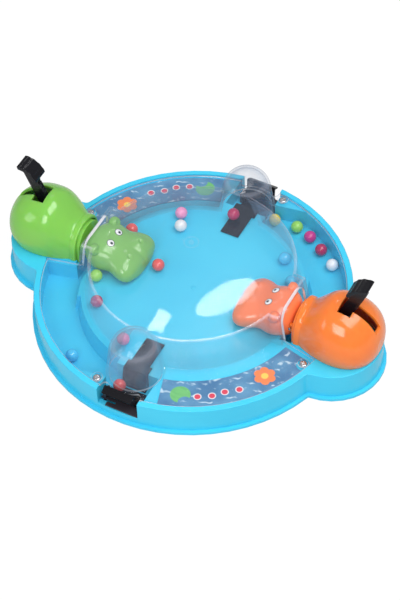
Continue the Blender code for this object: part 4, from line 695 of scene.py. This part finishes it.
def ringed(sections, points=72, shape=rounded):
    """Pull a circle out ring by ring; a section is its x and what shape needs besides."""
    bm = bmesh.new()
    turn = Matrix.Rotation(pi / 2, 4, "Y")
    circle = bmesh.ops.create_circle(bm, cap_ends=True, segments=points, radius=1.0, matrix=turn)
    first = list(circle["verts"])
    rings = [first]
    edges = [edge for edge in bm.edges if all(vert in first for vert in edge.verts)]
    for _ in sections[1:]:
        pulled = bmesh.ops.extrude_edge_only(bm, edges=edges)["geom"]
        edges = [part for part in pulled if isinstance(part, bmesh.types.BMEdge)]
        rings.append([part for part in pulled if isinstance(part, bmesh.types.BMVert)])
    for verts, (x, *sizes) in zip(rings, sections):
        for vert in verts:
            vert.co = (x, *shape(vert.co.y, vert.co.z, *sizes))
    bmesh.ops.holes_fill(bm, edges=edges)
    bmesh.ops.recalc_face_normals(bm, faces=bm.faces)
    return bm


def body_egg(start, end, inset, steps=40):
    """The body as rings from its throat to its rear, drawn in by inset."""
    sections = []
    for i in range(steps + 1):
        x = start + (end - start) * sin(pi / 2 * i / steps)
        wide, tall = fullness(x, BODY_WIDEST), fullness(x, BODY_TALLEST, 1.3)
        width = THROAT_HALF_WIDTH + (BODY_HALF_WIDTH - THROAT_HALF_WIDTH) * wide - inset
        width *= egg(x - BODY_WIDEST, BODY_REAR - BODY_WIDEST - inset, 2.3)
        middle = THROAT_MIDDLE + (BODY_MIDDLE_HEIGHT - THROAT_MIDDLE) * tall
        height = THROAT_TOP + (BODY_TOP - THROAT_TOP) * tall - inset - middle
        height *= egg(x - BODY_TALLEST, BODY_REAR - BODY_TALLEST - inset, 2.2)
        sections.append((x, max(width, 0.0003), max(height, 0.0003), middle,
                         THROAT_POWER + (2 - THROAT_POWER) * wide))
    return ringed(sections)


def doorway(half_width, low, top, corner_height, steps=10):
    """A round-topped doorway outline as (y, z)."""
    half = [(half_width, low)]
    for i in range(steps):
        angle = pi / 2 * i / steps
        half.append((half_width * cos(angle), corner_height + (top - corner_height) * sin(angle)))
    return half + [(0, top)] + [(-y, z) for y, z in reversed(half)]


def collar():
    """The raised ring round the throat."""
    half_width = THROAT_HALF_WIDTH + COLLAR_BORDER
    half_height = THROAT_TOP + COLLAR_BORDER - THROAT_MIDDLE
    return ringed([(BODY_FRONT + (THROAT_END - BODY_FRONT) * share, half_width - inset,
                    half_height - inset, THROAT_MIDDLE, THROAT_POWER)
                   for share, inset in COLLAR_STEPS])


def body_shell(side, plastic):
    """The egg and its collar, hollowed, with a doorway, a lever slot and a flat foot."""
    rear = BODY_REAR - END_GAP
    shell = new_object(f"{side}_hippo_body", body_egg(EGG_START, rear, 0))
    combine(shell, collar(), "UNION")
    combine(shell, body_egg(BODY_FRONT + FRONT_WALL, rear - BODY_WALL, BODY_WALL, 28))
    door = doorway(DOOR_HALF_WIDTH, 0, DOOR_TOP, DOOR_CORNER)
    combine(shell, extruded([(BODY_FRONT - 0.002, y, z) for y, z in door], (DOOR_DEPTH, 0, 0)))
    for low, high in (LEVER_WELL, LEVER_SLOT, BELOW_BODY):
        combine(shell, block(low, high))
    soften(shell, BODY_EDGE, 3, 45)
    return dress(at_its_end(shell, side), plastic, "root", side, f"{side}_body_shell")


for side, (_, plastic) in ENDS.items():
    body_shell(side, plastic)

# %% [markdown]
# ## Clear cover
# The cover is one thin sheet, drawn down over a mould: a flat plate, a dome, a square tunnel
# round each neck and a round hood over each launcher. Each of those is easy as a solid, so the
# solids are joined, the same solids drawn in by the sheet's thickness are cut out of them, and
# the openings come last. Forming leaves soft feet and shoulders, so the profiles have fillets.

# %% Clear cover
PLATE_TOP, PLATE_BOTTOM, SHEET = 0.02, 0.0185, 0.0015
PLATE_EDGE, DOME_FOOT, DOME_CROWN = 0.096, 0.0675, 0.044
TUNNEL_ROOT, TUNNEL_FOOT, TUNNEL_TOP, TUNNEL_LEAN = 0.05, 0.0715, 0.0434, 0.003
TUNNEL_HALF_FOOT, TUNNEL_HALF_TOP, TUNNEL_EDGE = 0.0203, 0.0194, 0.0013
HOOD_MIDDLE, HOOD_FOOT, HOOD_CAP, HOOD_CAP_HEIGHT = 0.0748, 0.018, 0.0158, 0.0362
DOME_SHOULDER, SHOULDER_ROUND, INNER_ROUND, CROWN_DROP = (0.0622, 0.0409), 0.0027, 0.0012, 0.0004
FOOT_FILLET, HOOD_FILLET = 0.0015, 0.0012


def crown(radius_end, height, steps=6):
    """The shallow curve of the dome's roof, in to the middle."""
    return [(radius_end * (1 - i / steps),
             height - CROWN_DROP * (1 - i / steps) ** 2) for i in range(1, steps + 1)]


def dome_solid():
    """The plate and the dome on it, as one solid."""
    profile = [(0, PLATE_BOTTOM), (PLATE_EDGE - 0.0003, PLATE_BOTTOM),
               (PLATE_EDGE, PLATE_BOTTOM + 0.0003), (PLATE_EDGE, PLATE_TOP - 0.0004),
               (PLATE_EDGE - 0.0004, PLATE_TOP)]
    profile += arc((DOME_FOOT + FOOT_FILLET, PLATE_TOP + FOOT_FILLET), FOOT_FILLET, 270, 185, 5)
    profile += arc(DOME_SHOULDER, SHOULDER_ROUND, 5, 90, 7)
    return spun(profile + crown(DOME_SHOULDER[0], DOME_CROWN), 144)


def dome_hollow():
    """The dome's inside, which reaches below the plate so that it opens there."""
    inner, low = DOME_FOOT - SHEET, PLATE_BOTTOM - 0.002
    profile = [(0, low), (inner, low), (inner, PLATE_TOP + 0.0008)]
    profile += arc(DOME_SHOULDER, INNER_ROUND, 5, 90, 5)
    return spun(profile + crown(DOME_SHOULDER[0], DOME_CROWN - SHEET), 144)


def tunnel(inset):
    """The square tunnel round a neck, with a round corner along each side and round the front."""
    low = PLATE_BOTTOM - 0.004 if inset else (PLATE_TOP + PLATE_BOTTOM) / 2
    base, top, corner = TUNNEL_HALF_FOOT - inset, TUNNEL_TOP - inset, 0.003 - inset / 2
    side = [(base, low), (base, PLATE_TOP)]
    side += arc((TUNNEL_HALF_TOP - inset - corner, top - corner), corner, 0, 90, 7)
    side += [(-y, z) for y, z in reversed(side)]
    front = TUNNEL_FOOT - inset
    bm = extruded([(TUNNEL_ROOT, y, z) for y, z in side], (front - TUNNEL_ROOT, 0, 0))
    ends = [vert for vert in bm.verts if vert.co.x > front - WELD]
    edges = [edge for edge in bm.edges if all(vert in ends for vert in edge.verts)
             and max(vert.co.z for vert in edge.verts) > PLATE_TOP + 0.001]
    for vert in ends:
        vert.co.x -= TUNNEL_LEAN * (vert.co.z - PLATE_TOP) / (TUNNEL_TOP - PLATE_TOP)
    bmesh.ops.bevel(bm, geom=edges, offset=TUNNEL_EDGE, segments=4, affect="EDGES", profile=0.5,
                    material=-1)
    return bm


def hood(inset):
    """The round hood over a launcher."""
    low = PLATE_BOTTOM - 0.006 if inset else PLATE_BOTTOM + 0.0005
    profile = [(0, low)]
    if inset:
        profile += [(HOOD_FOOT - inset, low), (HOOD_FOOT - inset, PLATE_TOP)]
    else:
        profile += [(HOOD_FOOT + 0.0011, low)]
        profile += arc((HOOD_FOOT + HOOD_FILLET, PLATE_TOP + 0.00115), HOOD_FILLET, 265, 185, 4)
    profile += arc((0, HOOD_CAP_HEIGHT), HOOD_CAP - inset, 8, 88, 14)
    profile += [(0, HOOD_CAP_HEIGHT + HOOD_CAP - inset)]
    return spun(profile, 72, (0, HOOD_MIDDLE))


print("dome", DOME_CROWN, "m high, hoods", round(HOOD_CAP_HEIGHT + HOOD_CAP, 4))

# %% [markdown]
# ## Openings of the cover
# The plate is cut away at the launchers and at the bodies, each tunnel has a doorway for the neck,
# and each screw has its ring and hole. Every one is there twice or four times, so it is written
# once. Two hair-thin rings on the roof are the mark of the forming tool.

# %% Openings of the cover
NOTCH_ROUND, NOTCH_HALF_WIDTH, NOTCH_CORNER = 0.0193, 0.0104, 0.003
GAP_START, GAP_END, GAP_SLOPE = 0.0718, 0.102, 0.2182
SCREW_RING = ((0, 0.0188), (0.0036, 0.0188), (0.0036, 0.0204), (0.0033, 0.0208), (0, 0.0208))
SCREW_HOLE = ((0, 0.015), (0.0013, 0.015), (0.0013, PLATE_TOP - 0.0003),
              (0.0027, PLATE_TOP - 0.0003), (0.0027, 0.022), (0, 0.022))
ROOF_MARK, ROOF_GROOVES = (-0.0071, 0.0126), ((0.0046, 0.00035), (0.0012, 0.0006))
SCREW_NAMES = [name for name in sorted(nodes) if name.startswith("cover_screw")]
screw_spots = [((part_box(name)[0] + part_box(name)[1]) / 2).to_2d() for name in SCREW_NAMES]


def plate_notch():
    """The cut in the plate at a launcher: it runs round the hood's foot and out to the rim."""
    foot_angle = acos(NOTCH_HALF_WIDTH / NOTCH_ROUND)
    corner = (NOTCH_HALF_WIDTH, HOOD_MIDDLE + NOTCH_ROUND * sin(foot_angle) + NOTCH_CORNER)
    half = [(0.0134, 0.1)] + arc(corner, NOTCH_CORNER, 0, -90, 6)
    half += arc((0, HOOD_MIDDLE), NOTCH_ROUND, foot_angle * 180 / pi, 90, 8)[1:]
    half += [(-x, y) for x, y in reversed(half[:-1])]
    return extruded([(x, y, 0.01) for x, y in half], (0, 0, 0.01035))


def plate_gap():
    """The plate stops short of the shelf that a body stands on."""
    outline = [(GAP_START, -GAP_START * GAP_SLOPE), (GAP_END, -GAP_END * GAP_SLOPE),
               (GAP_END, GAP_END * GAP_SLOPE), (GAP_START, GAP_START * GAP_SLOPE)]
    return extruded([(x, y, 0.01) for x, y in outline], (0, 0, 0.036))


def tunnel_door():
    """The doorway for a neck, at the end of its tunnel."""
    half = [(0.015, 0.0105)] + arc((0.007, 0.0336), 0.008, 0, 90, 10)
    half += [(-y, z) for y, z in reversed(half)]
    return extruded([(0.052, y, z) for y, z in half], (0.0215, 0, 0))


def roof_groove(radius, depth):
    """A ring of round section that cuts a groove into the roof."""
    bm = bmesh.new()
    section = Matrix.Translation((radius, 0, 0)) @ Matrix.Rotation(pi / 2, 4, "X")
    bmesh.ops.create_circle(bm, segments=16, radius=depth, matrix=section)
    bmesh.ops.spin(bm, geom=bm.verts[:] + bm.edges[:], axis=(0, 0, 1), cent=(0, 0, 0),
                   angle=2 * pi, steps=48, use_merge=True)
    return moved(bm, (*ROOF_MARK, DOME_CROWN + 0.00002))


def at_both_ends(make, *sizes):
    """A shape at the orange end, and again after half a turn."""
    return [make(*sizes), turned(make(*sizes), pi)]


def at_screws(profile, segments):
    """A spun shape at each of the four screws."""
    return [spun(profile, segments, spot) for spot in screw_spots]


print("screws at", [tuple(round(value, 4) for value in spot) for spot in screw_spots])

# %% [markdown]
# ## The cover in one piece
# Now the shapes come together: the outer solids are joined, the inner ones are joined and taken
# away, and the openings follow. A sound moulding is closed, so the open edges are counted.

# %% The cover in one piece
cover = new_object("clear_formed_cover", dome_solid())
for shape in at_both_ends(tunnel, 0) + at_both_ends(hood, 0) + at_screws(SCREW_RING, 44):
    combine(cover, shape, "UNION")
hollow = new_object("hollow", dome_hollow())
for shape in at_both_ends(tunnel, SHEET) + at_both_ends(hood, SHEET) + at_both_ends(tunnel_door):
    combine(hollow, shape, "UNION")
combine(cover, shape_of(hollow))
for shape in at_both_ends(plate_gap) + at_both_ends(plate_notch) + at_screws(SCREW_HOLE, 34):
    combine(cover, shape)
for radius, depth in ROOF_GROOVES:
    combine(cover, roof_groove(radius, depth))
check = bmesh.new()
check.from_mesh(cover.data)
print("open edges in the cover:", sum(not edge.is_manifold for edge in check.edges))
check.free()
dress(cover, CLEAR, "root", "clear", "clear_cover", angle=radians(28))
cover.data.materials.append(CLEAR_EDGE_GLOW)


def is_cut_edge(face):
    """The narrow faces that get a painted bright glow: the plate's edge, the doorways and the rings
    round the screws.
    """
    middle, normal = face.center, face.normal
    in_plate = PLATE_BOTTOM < middle.z < PLATE_TOP + 0.0001 and abs(normal.z) < 0.8
    at_rim = in_plate and middle.to_2d().length > 0.0718
    at_door = 0.066 < abs(middle.x) < 0.0725 and abs(normal.x) < 0.5 and abs(middle.y) < 0.01505
    on_ring = (PLATE_TOP < middle.z < 0.02085 and normal.z < 0.99
               and any(0.0031 < (middle.to_2d() - spot).length < 0.0037 for spot in screw_spots))
    return at_rim or on_ring or (at_door and middle.z < 0.0417 and middle.z > PLATE_BOTTOM)


# The cut edges take the second material, the painted glow.
for face in cover.data.polygons:
    face.material_index = int(is_cut_edge(face))
print("cut edge faces:", sum(face.material_index for face in cover.data.polygons))

# %% [markdown]
# ## Cover screws
# A cross-head screw with a low round head sits in each ring. The head is spun and its recess
# is cut with two thin crossed blocks.

# %% Cover screws
SCREW_SEAT, SCREW_HEAD_RADIUS, SHANK_RADIUS = PLATE_TOP - 0.00028, 0.0023, 0.001
HEAD_EDGE, HEAD_RISE, RECESS_DEPTH = 0.0002, 0.00055, 0.00035
FIRST_TURN, TURN_STEP = 0.4, 0.7


def cross_screw(name, spot, turn):
    """A screw whose recess points its own way, as hand-driven screws do."""
    shoulder = SCREW_SEAT + HEAD_EDGE
    profile = [(0, SCREW_SEAT - 0.009), (SHANK_RADIUS, SCREW_SEAT - 0.0082),
               (SHANK_RADIUS, SCREW_SEAT), (SCREW_HEAD_RADIUS - 0.0001, SCREW_SEAT),
               (SCREW_HEAD_RADIUS, shoulder)]
    profile += [(SCREW_HEAD_RADIUS * cos(radians(a)), shoulder + HEAD_RISE * sin(radians(a)))
                for a in range(15, 90, 12)]
    screw = new_object(f"{name}_head", spun(profile + [(0, shoulder + HEAD_RISE)], 36, spot))
    for angle in (turn, turn + pi / 2):
        bar = block((-0.0013, -0.00022, SCREW_SEAT + RECESS_DEPTH),
                    (0.0013, 0.00022, SCREW_SEAT + 0.002))
        combine(screw, moved(turned(bar, angle), (*spot, 0)))
    return dress(screw, STEEL, "root", "steel", name)


for number, (name, spot) in enumerate(zip(SCREW_NAMES, screw_spots)):
    cross_screw(name, spot, FIRST_TURN + TURN_STEP * number)

# %% [markdown]
# ## Heads
# A head is a hollow moulding that is open below, so that it can drop over a bean. A few
# sections from nape to lip are enough: a subdivision surface rounds them. The brows, the cheeks
# and the nostrils are then pushed up or in, as one would with a soft brush, and the ears are
# small dished balls.

# %% Heads
HEAD_REAR, HEAD_LIP, HEAD_BOTTOM, HEAD_PIN = 0.0722, 0.033, 0.018, (0.071, 0.026)
HEAD_SECTIONS = ((0, 0.487, 0.718), (0.056, 0.641, 0.871), (0.133, 0.769, 0.957), (0.247, 0.9, 1),
                 (0.362, 0.885, 0.986), (0.464, 0.8, 0.928), (0.566, 0.83, 0.852),
                 (0.681, 0.95, 0.813), (0.796, 1.02, 0.766), (0.898, 0.933, 0.67),
                 (0.939, 0.831, 0.598), (0.969, 0.692, 0.517), (1, 0.308, 0.383))
HEAD_HALF_WIDTH, HEAD_HEIGHT, HEAD_WALL = 0.0195, 0.0209, 0.0018
CHIN_RISE, CHIN_START, CHIN_LENGTH, SIDE_POWER = 0.0024, 0.037, 0.0016, 2.4
BROW, CROWN, CHEEK = (0.0555, 0.0056, 0.038), (0.06, 0.006, 0.038), (0.048, 0.016, 0.028)
MUZZLE, NOSTRIL = (0.0412, 0.008, 0.0335), (0.0405, 0.0075, 0.0346)
BRUSH_MARKS = ((BROW, 0.003, 0.0008), (CROWN, 0.0035, 0.0004), (MUZZLE, 0.0038, 0.0012),
               (NOSTRIL, 0.0012, -0.0013), (CHEEK, 0.004, 0.0006))
CLEFT_DEPTH, CLEFT_HALF_WIDTH, CLEFT_LENGTH, CLEFT_ABOVE = 0.0014, 0.004, 0.015, 0.024
EAR, EAR_RADIUS = (0.0625, 0.013, 0.0355), 0.0038
DISH_PLACE, DISH_WAY, DISH_SIZE = Vector((-0.0026, 0, 0.0012)), Vector((-0.7, 0, 0.5)), 0.0022
SLOT_INNER, SLOT_OUTER, SLOT_HALF, BORE_RADIUS, BORE_HALF = 0.0067, 0.0097, 0.0036, 0.0015, 0.0107


def head_shape(y, z, half_width, top, bottom, inset=0.0):
    """A section that is flat below, full at the sides and round above."""
    middle = bottom + (top - bottom) * 0.4
    aside = (half_width - inset) * abs(y) ** (2 / SIDE_POWER) * (1 if y >= 0 else -1)
    if z < 0:
        return aside, middle - (middle - bottom) * min(-z / 0.74, 1)
    return aside, middle + (top - inset - middle) * z ** (2 / SIDE_POWER)


def head_rings(inset=0.0, first=0, last=13, open_below=0.0):
    """The sections of a head, or those of its inside, which is open below."""
    sections = []
    for along, across, rise in HEAD_SECTIONS[first:last]:
        x = HEAD_REAR - (HEAD_REAR - HEAD_LIP) * along
        chin = HEAD_BOTTOM + CHIN_RISE * min(max((CHIN_START - x) / CHIN_LENGTH, 0), 1)
        sections.append((x, HEAD_HALF_WIDTH * across, HEAD_BOTTOM + HEAD_HEIGHT * rise,
                         open_below if inset else chin, inset))
    return ringed(sections, 26, head_shape)


def brushed(mesh):
    """Push the brush marks out or in, and draw the cleft that runs back from the lip."""
    bm = bmesh.new()
    bm.from_mesh(mesh)
    for centre, reach, push in BRUSH_MARKS:
        for sign in (1, -1):
            middle = Vector((centre[0], sign * centre[1], centre[2]))
            for vert in bm.verts:
                share = (vert.co - middle).length / reach
                if share < 2.5:
                    vert.co += vert.normal * push * (2.718 ** (-share * share))
    for vert in bm.verts:
        across = max(1 - abs(vert.co.y) / CLEFT_HALF_WIDTH, 0)
        along = min(max(1 - (vert.co.x - HEAD_LIP) / CLEFT_LENGTH, 0), 1)
        if vert.co.z > CLEFT_ABOVE:
            vert.co.z -= CLEFT_DEPTH * (across * along) ** 1.5
    bm.to_mesh(mesh)
    bm.free()


def ear(sign):
    """A small ball, dished towards the front."""
    bm = bmesh.new()
    bmesh.ops.create_uvsphere(bm, u_segments=32, v_segments=20, radius=EAR_RADIUS)
    for vert in bm.verts:
        dish = max(1 - (vert.co - DISH_PLACE).length / DISH_SIZE, 0)
        vert.co -= DISH_WAY * DISH_SIZE * dish
    return moved(bm, (EAR[0], sign * EAR[1], EAR[2]))


def pin_slot(sign):
    """The room for one arm of the neck, beside the pin."""
    near, far = sorted((sign * SLOT_INNER, sign * SLOT_OUTER))
    return block((HEAD_PIN[0] - SLOT_HALF, near, HEAD_PIN[1] - SLOT_HALF),
                 (HEAD_REAR + 0.002, far, HEAD_PIN[1] + SLOT_HALF))


def head(side, plastic):
    """The whole head: rounded, brushed, with ears, hollowed and bored for its pin."""
    shell = new_object(f"{side}_hippo_head", head_rings())
    smooth = shell.modifiers.new("smooth", "SUBSURF")
    smooth.levels = smooth.render_levels = 3
    brushed(applied(shell).data)
    for sign in (1, -1):
        combine(shell, ear(sign), "UNION")
    combine(shell, head_rings(HEAD_WALL, 3, 10, HEAD_BOTTOM - 0.002))
    for sign in (1, -1):
        combine(shell, pin_slot(sign))
    bore = spun([(0, -BORE_HALF), (BORE_RADIUS, -BORE_HALF), (BORE_RADIUS, BORE_HALF),
                 (0, BORE_HALF)], 20)
    combine(shell, moved(turned(bore, pi / 2, "X"), (HEAD_PIN[0], 0, HEAD_PIN[1])))
    return dress(at_its_end(shell, side), plastic, f"{side}_head", side, f"{side}_head",
                 angle=radians(45))


print("head from x", HEAD_LIP, "to", HEAD_REAR)

# %% [markdown]
# ## Printed eyes
# The eyes are printed on the real toy, so here they are a colour and not a shape: round patches
# that are laid over each other. A place on the head counts by its distance from the eye's middle.

# %% Printed eyes
EYE, EYE_SOFT = (0.0546, 0.0052, 0.0384), 0.0002
EYE_PATCHES = ((0, 0.0027, (0.02, 0.022, 0.03, 1)), (0, 0.0023, (0.9, 0.9, 0.9, 1)),
               (-0.0007, 0.0013, (0.012, 0.012, 0.016, 1)),
               (-0.0002, 0.0004, (0.95, 0.95, 0.95, 1)))


def printed_eyes(sign):
    """Plain round eyes on the head of one side: a dark ring, a white, a pupil and a glint."""
    def paint(spot, colours):
        for aside in (1, -1):
            x, y, z = EYE[0] * sign, EYE[1] * aside, EYE[2]
            for shift, radius, shade in EYE_PATCHES:
                away = spot.distance((x + shift * sign, y, z))
                inside = 1.0 - away.clear_of(radius - EYE_SOFT, radius + EYE_SOFT)
                colours = inside.mixed(colours, shade)
        return colours
    return paint


HEAD_ORANGE = moulded("head_orange", (0.98, 0.245, 0.085), (0.95, 0.215, 0.075), 0.15,
                      extra=printed_eyes(1))
HEAD_GREEN = moulded("head_green", (0.23, 0.52, 0.115), (0.205, 0.48, 0.105), 0.15,
                     extra=printed_eyes(-1))
head("orange", HEAD_ORANGE)
head("green", HEAD_GREEN)

# %% [markdown]
# ## Floor and background
# A pale floor carries the shadow. Where the camera looks at it, most of its colour is a plain
# white glow, so that the ground runs into the background, as in a studio picture.

# %% Floor and background
FLOOR_SIZE, FLOOR_DROP, FLOOR_GLOW, GLOW_SHARE = 3.0, 0.0002, 1.06, 0.9
SKY_LIGHT = 0.42


def pale_floor():
    material, shader, spot = finish("pale_floor", {"Roughness": 0.9, "Specular IOR Level": 0.1})
    grain = spot.noise(6.0, 2.0)
    feed(shader, Base_Color=grain.mixed((0.6, 0.6, 0.6, 1), (0.64, 0.64, 0.64, 1)))
    seen = spot.node("ShaderNodeLightPath")
    tree = material.node_tree
    glow = spot.node("ShaderNodeEmission", Color=(1, 1, 1, 1), Strength=FLOOR_GLOW)
    plain = Wire(tree, shader.outputs[0])
    both = seen.node("ShaderNodeMixShader", Fac=seen * GLOW_SHARE, _1=plain, _2=glow)
    tree.links.new(both.socket, tree.nodes["Material Output"].inputs["Surface"])
    return material


ground = bmesh.new()
bmesh.ops.create_grid(ground, x_segments=2, y_segments=2, size=FLOOR_SIZE)
floor = new_object("floor", moved(ground, (0, 0, -FLOOR_DROP)))
floor.data.materials.append(pale_floor())

world = bpy.data.worlds.new("studio")
world.use_nodes = True
bpy.context.scene.world = world
sky_tree = world.node_tree
sky = Wire(sky_tree, sky_tree.nodes.new("ShaderNodeLightPath").outputs["Is Camera Ray"])
backdrop = sky_tree.nodes["Background"]
backdrop.inputs["Color"].default_value = (1, 1, 1, 1)
sky_tree.links.new((sky * (1 - SKY_LIGHT) + SKY_LIGHT).socket, backdrop.inputs["Strength"])
print("floor", 2 * FLOOR_SIZE, "m wide, sky light", SKY_LIGHT)

# %% [markdown]
# ## Lamps
# Big soft lamps light the game from above and behind, as in a light tent, and a smaller one gives
# the square highlights on the bodies. Two weak ones are there for their reflections alone: the
# pale patches on the dome, such as a window and its pane leave on clear sheet.

# %% Lamps
def softbox(name, place, aim, width, height, power, turn=0, shape="RECTANGLE"):
    """A soft lamp that is aimed at a place; turn tips it about its own middle, in degrees."""
    lamp = bpy.data.lights.new(name, "AREA")
    lamp.shape, lamp.size, lamp.size_y, lamp.energy = shape, width, height, power
    stand = bpy.data.objects.new(name, lamp)
    aimed = (Vector(aim) - Vector(place)).to_track_quat("-Z", "Y").to_matrix().to_4x4()
    tipped = Matrix.Rotation(radians(turn), 4, "Z")
    stand.matrix_world = Matrix.Translation(place) @ aimed @ tipped
    stand.visible_camera = False
    bpy.context.collection.objects.link(stand)
    return stand


softbox("key", (0.1, -0.96, 0.74), (0, 0, 0.03), 0.5, 0.5, 4.9)
softbox("overhead", (0.52, -0.12, 1.3), (0, 0, 0.02), 1.2, 0.7, 13.8)
softbox("fill", (-0.85, -0.9, 0.52), (0, 0, 0.03), 0.45, 0.45, 1.6)
softbox("window", (-0.318, 0.654, 0.942), (0.02, -0.02, 0.044), 0.098, 0.038, 0.23, 30, "ELLIPSE")
softbox("pane", (-0.389, 0.583, 0.965), (-0.02, -0.05, 0.044), 0.038, 0.022, 0.09, 60)
print("lamps:", sorted(lamp.name for lamp in bpy.data.lights))
